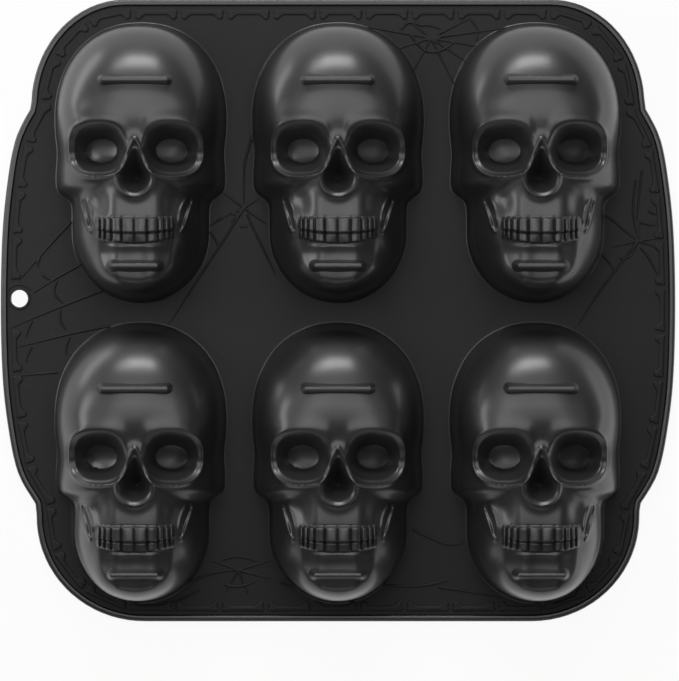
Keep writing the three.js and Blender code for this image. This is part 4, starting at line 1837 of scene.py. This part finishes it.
@dataclass(frozen=True)
class Studio:
    """Pale floor, dim world and soft lamps, of which the two behind the crowns are the strongest."""

    boxes: tuple[SoftBox, ...] = (
        SoftBox("key_box", (0.0, 1.75, 1.0), (0.80, 0.39), 14.5),
        SoftBox("key_left_box", (-0.55, 1.70, 1.03), (0.50, 0.39), 5.0),
        SoftBox("high_box", (0.0, 0.14, 0.68), (0.60, 0.50), 1.7),
        SoftBox("over_left_box", (-0.30, 0.12, 0.60), (0.48, 0.50), 0.55),
        SoftBox("over_right_box", (0.30, 0.12, 0.60), (0.40, 0.50), 0.25),
        SoftBox("left_box", (-0.62, 0.12, 0.36), (0.30, 0.20), 1.0),
        SoftBox("front_box", (0.0, -0.66, 0.50), (0.60, 0.30), 0.45),
        SoftBox("rake_left_strip", (-0.40, 0.30, 0.05), (0.30, 0.10), 0.35),
        SoftBox("rake_right_strip", (0.48, 0.0, 0.05), (0.60, 0.10), 0.2),
    )
    floor_half: float = 6.0
    world_level: float = 0.02
    white: tuple[float, float, float] = (1.0, 1.0, 1.0)
    horizon_from: float = 0.05
    horizon_to: float = 0.16
    floor_white: float = 0.93
    floor_colour: tuple[float, float, float] = (0.86, 0.86, 0.86)
    floor_roughness: float = 0.9

    def world(self) -> None:
        """Light all round at a low level.

        The camera sees it white, and mirrored and passing rays do so near the horizon.
        """
        world = bpy.data.worlds.new("studio_world")
        bpy.context.scene.world = world
        world.use_nodes = True
        tree = world.node_tree
        background = tree.nodes["Background"]
        set_inputs(background, {"Color": (*self.white, 1.0)})
        direction = add_node(tree, "ShaderNodeTexCoord")
        parts = add_node(tree, "ShaderNodeSeparateXYZ")
        heights = {"From Min": self.horizon_to, "From Max": self.horizon_from}
        low = add_node(tree, "ShaderNodeMapRange", heights)
        mirrored = add_node(tree, "ShaderNodeMath", operation="MULTIPLY")
        path = add_node(tree, "ShaderNodeLightPath")
        seen = add_node(tree, "ShaderNodeMath", operation="MAXIMUM")
        level = add_node(tree, "ShaderNodeMapRange", {"To Min": self.world_level, "To Max": 1.0})
        link_all(
            tree,
            (direction.outputs["Generated"], parts.inputs["Vector"]),
            (parts.outputs["Z"], low.inputs["Value"]),
            (low.outputs["Result"], mirrored.inputs[0]),
            (white_seen(tree), mirrored.inputs[1]),
            (path.outputs["Is Camera Ray"], seen.inputs[0]),
            (mirrored.outputs["Value"], seen.inputs[1]),
            (seen.outputs["Value"], level.inputs["Value"]),
            (level.outputs["Result"], background.inputs["Strength"]),
        )

    def floor(self) -> None:
        """Lay a pale floor, white to the camera and to mirrored and passing rays."""
        deselect_all()
        bpy.ops.mesh.primitive_plane_add(size=2.0 * self.floor_half)
        floor = bpy.context.object
        floor.name = "studio_floor"
        pale = {"Base Color": (*self.floor_colour, 1.0), "Roughness": self.floor_roughness}
        material = start_material("pale_floor", pale)
        tree = material.node_tree
        glow = add_node(tree, "ShaderNodeEmission")
        path = add_node(tree, "ShaderNodeLightPath")
        rays = add_node(tree, "ShaderNodeMath", operation="MAXIMUM")
        seen = add_node(tree, "ShaderNodeMath", {1: self.floor_white}, operation="MULTIPLY")
        mix = add_node(tree, "ShaderNodeMixShader")
        link_all(
            tree,
            (path.outputs["Is Camera Ray"], rays.inputs[0]),
            (white_seen(tree), rays.inputs[1]),
            (rays.outputs["Value"], seen.inputs[0]),
            (seen.outputs["Value"], mix.inputs["Fac"]),
            (tree.nodes["Principled BSDF"].outputs["BSDF"], mix.inputs[1]),
            (glow.outputs["Emission"], mix.inputs[2]),
            (mix.outputs["Shader"], tree.nodes["Material Output"].inputs["Surface"]),
        )
        floor.data.materials.append(material)

    def build(self) -> None:
        """Add the world, the floor and the lamps, with colours shown as they are."""
        bpy.context.scene.view_settings.view_transform = "Standard"
        self.world()
        self.floor()
        for box in self.boxes:
            box.build()


# Finishes


def group_with(name: str, inputs: dict[str, float], outputs: tuple[str, ...]) -> bpy.types.NodeTree:
    """Start a shader node group with plain number sockets.

    Args:
        name: Name of the group.
        inputs: Name and default of each input.
        outputs: Name of each output.

    Returns:
        The group, with its input and output nodes added.
    """
    group = bpy.data.node_groups.new(name, "ShaderNodeTree")
    for title, default in inputs.items():
        socket = group.interface.new_socket(title, in_out="INPUT", socket_type="NodeSocketFloat")
        socket.default_value = default
    for title in outputs:
        group.interface.new_socket(title, in_out="OUTPUT", socket_type="NodeSocketFloat")
    group.nodes.new("NodeGroupInput")
    group.nodes.new("NodeGroupOutput")
    return group


def tool_grain() -> bpy.types.NodeTree:
    """Build the fine texture that the moulding tool leaves: even grain broken by small pits.

    Returns:
        The group, which turns a scale and a depth of pits into a height.
    """
    group = group_with("tool_grain", {"Scale": 2600.0, "Pits": 0.4}, ("Height",))
    given, result = group.nodes["Group Input"], group.nodes["Group Output"]
    place = add_node(group, "ShaderNodeTexCoord")
    grain = add_node(group, "ShaderNodeTexNoise", {"Detail": 3.0})
    pits = add_node(group, "ShaderNodeTexVoronoi")
    wider = add_node(group, "ShaderNodeMath", {1: PIT_SCALE_SHARE}, operation="MULTIPLY")
    depth = add_node(group, "ShaderNodeMath", operation="MULTIPLY")
    total = add_node(group, "ShaderNodeMath", operation="ADD")
    link_all(
        group,
        (place.outputs["Object"], grain.inputs["Vector"]),
        (place.outputs["Object"], pits.inputs["Vector"]),
        (given.outputs["Scale"], grain.inputs["Scale"]),
        (given.outputs["Scale"], wider.inputs[0]),
        (wider.outputs["Value"], pits.inputs["Scale"]),
        (pits.outputs["Distance"], depth.inputs[0]),
        (given.outputs["Pits"], depth.inputs[1]),
        (grain.outputs["Fac"], total.inputs[0]),
        (depth.outputs["Value"], total.inputs[1]),
        (total.outputs["Value"], result.inputs["Height"]),
    )
    return group


def handled_skin() -> bpy.types.NodeTree:
    """Build the slow change of gloss that washing and handling give, and a sparse dust mask.

    Returns:
        The group, which puts out a roughness and a dust mask.
    """
    inputs = {"Roughness": 0.45, "Spread": 0.06, "Patch Scale": 28.0, "Dust": 0.1}
    group = group_with("handled_skin", inputs, ("Roughness", "Dust Mask"))
    given, result = group.nodes["Group Input"], group.nodes["Group Output"]
    place = add_node(group, "ShaderNodeTexCoord")
    patches = add_node(group, "ShaderNodeTexNoise", {"Detail": 4.0, "Roughness": 0.6})
    centred = add_node(group, "ShaderNodeMath", {1: NOISE_MEAN}, operation="SUBTRACT")
    change = add_node(group, "ShaderNodeMath", operation="MULTIPLY_ADD")
    specks = add_node(group, "ShaderNodeTexNoise", {"Scale": 900.0, "Detail": 2.0})
    sparse = add_node(group, "ShaderNodeMapRange", {"From Min": 0.66, "From Max": 0.78})
    amount = add_node(group, "ShaderNodeMath", operation="MULTIPLY")
    link_all(
        group,
        (place.outputs["Object"], patches.inputs["Vector"]),
        (place.outputs["Object"], specks.inputs["Vector"]),
        (given.outputs["Patch Scale"], patches.inputs["Scale"]),
        (patches.outputs["Fac"], centred.inputs[0]),
        (centred.outputs["Value"], change.inputs[0]),
        (given.outputs["Spread"], change.inputs[1]),
        (given.outputs["Roughness"], change.inputs[2]),
        (change.outputs["Value"], result.inputs["Roughness"]),
        (specks.outputs["Fac"], sparse.inputs["Value"]),
        (sparse.outputs["Result"], amount.inputs[0]),
        (given.outputs["Dust"], amount.inputs[1]),
        (amount.outputs["Value"], result.inputs["Dust Mask"]),
    )
    return group


@dataclass(frozen=True)
class SiliconeFinish:
    """One finish of the black silicone."""

    name: str
    colour: tuple[float, float, float]
    roughness: float
    spread: float
    grain_scale: float
    grain_depth: float
    dust: float
    sheen: float
    sheen_roughness: float
    reflection: float
    dust_colour: tuple[float, float, float] = (0.16, 0.155, 0.15)
    refraction: float = 1.5
    grain_strength: float = 0.5

    def material(self, grain: bpy.types.NodeTree, skin: bpy.types.NodeTree) -> bpy.types.Material:
        """Make the finish's material.

        Args:
            grain: Group of the tool's texture.
            skin: Group of the handled skin.

        Returns:
            The material.
        """
        gloss = {
            "IOR": self.refraction,
            "Specular IOR Level": self.reflection,
            "Coat Weight": self.sheen,
            "Coat Roughness": self.sheen_roughness,
        }
        skin_values = {"Roughness": self.roughness, "Spread": self.spread, "Dust": self.dust}
        colours = {"A": (*self.colour, 1.0), "B": (*self.dust_colour, 1.0)}
        relief = {"Strength": self.grain_strength, "Distance": self.grain_depth * MILLIMETRE}
        material = start_material(self.name, gloss)
        tree = material.node_tree
        shader = tree.nodes["Principled BSDF"]
        texture = add_node(tree, "ShaderNodeGroup", {"Scale": self.grain_scale}, node_tree=grain)
        surface = add_node(tree, "ShaderNodeGroup", skin_values, node_tree=skin)
        tint = add_node(tree, "ShaderNodeMix", colours, data_type="RGBA")
        bump = add_node(tree, "ShaderNodeBump", relief)
        link_all(
            tree,
            (surface.outputs["Dust Mask"], tint.inputs["Factor"]),
            (tint.outputs["Result"], shader.inputs["Base Color"]),
            (surface.outputs["Roughness"], shader.inputs["Roughness"]),
            (texture.outputs["Height"], bump.inputs["Height"]),
            (bump.outputs["Normal"], shader.inputs["Normal"]),
        )
        return material


SATIN = SiliconeFinish(
    name="satin_silicone",
    colour=(0.012, 0.012, 0.013),
    roughness=0.5,
    spread=0.05,
    grain_scale=2600.0,
    grain_depth=0.012,
    dust=0.05,
    sheen=0.75,
    sheen_roughness=0.26,
    reflection=0.45,
)
MATT = SiliconeFinish(
    name="matt_silicone",
    colour=(0.013, 0.013, 0.0135),
    roughness=0.55,
    spread=0.06,
    grain_scale=1700.0,
    grain_depth=0.03,
    dust=0.1,
    sheen=0.0,
    sheen_roughness=0.3,
    reflection=0.24,
)


@dataclass(frozen=True)
class WireFinish:
    """Drawn stainless steel with fine lines along the wire, for the ring inside the rim."""

    name: str = "drawn_steel"
    bright: tuple[float, float, float] = (0.62, 0.63, 0.64)
    dull: tuple[float, float, float] = (0.44, 0.445, 0.45)
    roughness: float = 0.26
    line_scale: tuple[float, float, float] = (60.0, 60.0, 5000.0)
    line_depth: float = 0.004

    def dress(self, node: str) -> None:
        """Give a CAD node this finish.

        Args:
            node: Name of the node.
        """
        colours = {"A": (*self.dull, 1.0), "B": (*self.bright, 1.0)}
        material = start_material(self.name, {"Metallic": 1.0, "Roughness": self.roughness})
        tree = material.node_tree
        shader = tree.nodes["Principled BSDF"]
        place = add_node(tree, "ShaderNodeTexCoord")
        stretch = add_node(tree, "ShaderNodeMapping", {"Scale": self.line_scale})
        lines = add_node(tree, "ShaderNodeTexNoise", {"Scale": 1.0, "Detail": 4.0})
        tint = add_node(tree, "ShaderNodeMix", colours, data_type="RGBA")
        bump = add_node(tree, "ShaderNodeBump", {"Distance": self.line_depth * MILLIMETRE})
        link_all(
            tree,
            (place.outputs["Object"], stretch.inputs["Vector"]),
            (stretch.outputs["Vector"], lines.inputs["Vector"]),
            (lines.outputs["Fac"], tint.inputs["Factor"]),
            (tint.outputs["Result"], shader.inputs["Base Color"]),
            (lines.outputs["Fac"], bump.inputs["Height"]),
            (bump.outputs["Normal"], shader.inputs["Normal"]),
        )
        for holder in bpy.data.objects[node].material_slots:
            holder.material = material


def main() -> None:
    """Build the camera, the studio and every piece of the mould."""
    logging.basicConfig(level=logging.INFO, format="%(message)s")
    PhotoCamera().build()
    Studio().build()
    grain, skin = tool_grain(), handled_skin()
    satin = SATIN.material(grain, skin)
    matt = MATT.material(grain, skin)
    levels = Levels()
    SkullCups(levels).build(satin)
    FootBars(levels).build(satin)
    Rim(levels).build(satin)
    deck = Deck(levels)
    deck.build(matt)
    Eyelet(levels, deck).build(matt)
    BoneBorder(levels, deck).build(matt)
    scale = PhotoScale()
    for web in WEBS:
        web.build(matt, levels, scale)
    WireFinish().dress("reinforcing_ring")


if __name__ == "__main__":
    main()
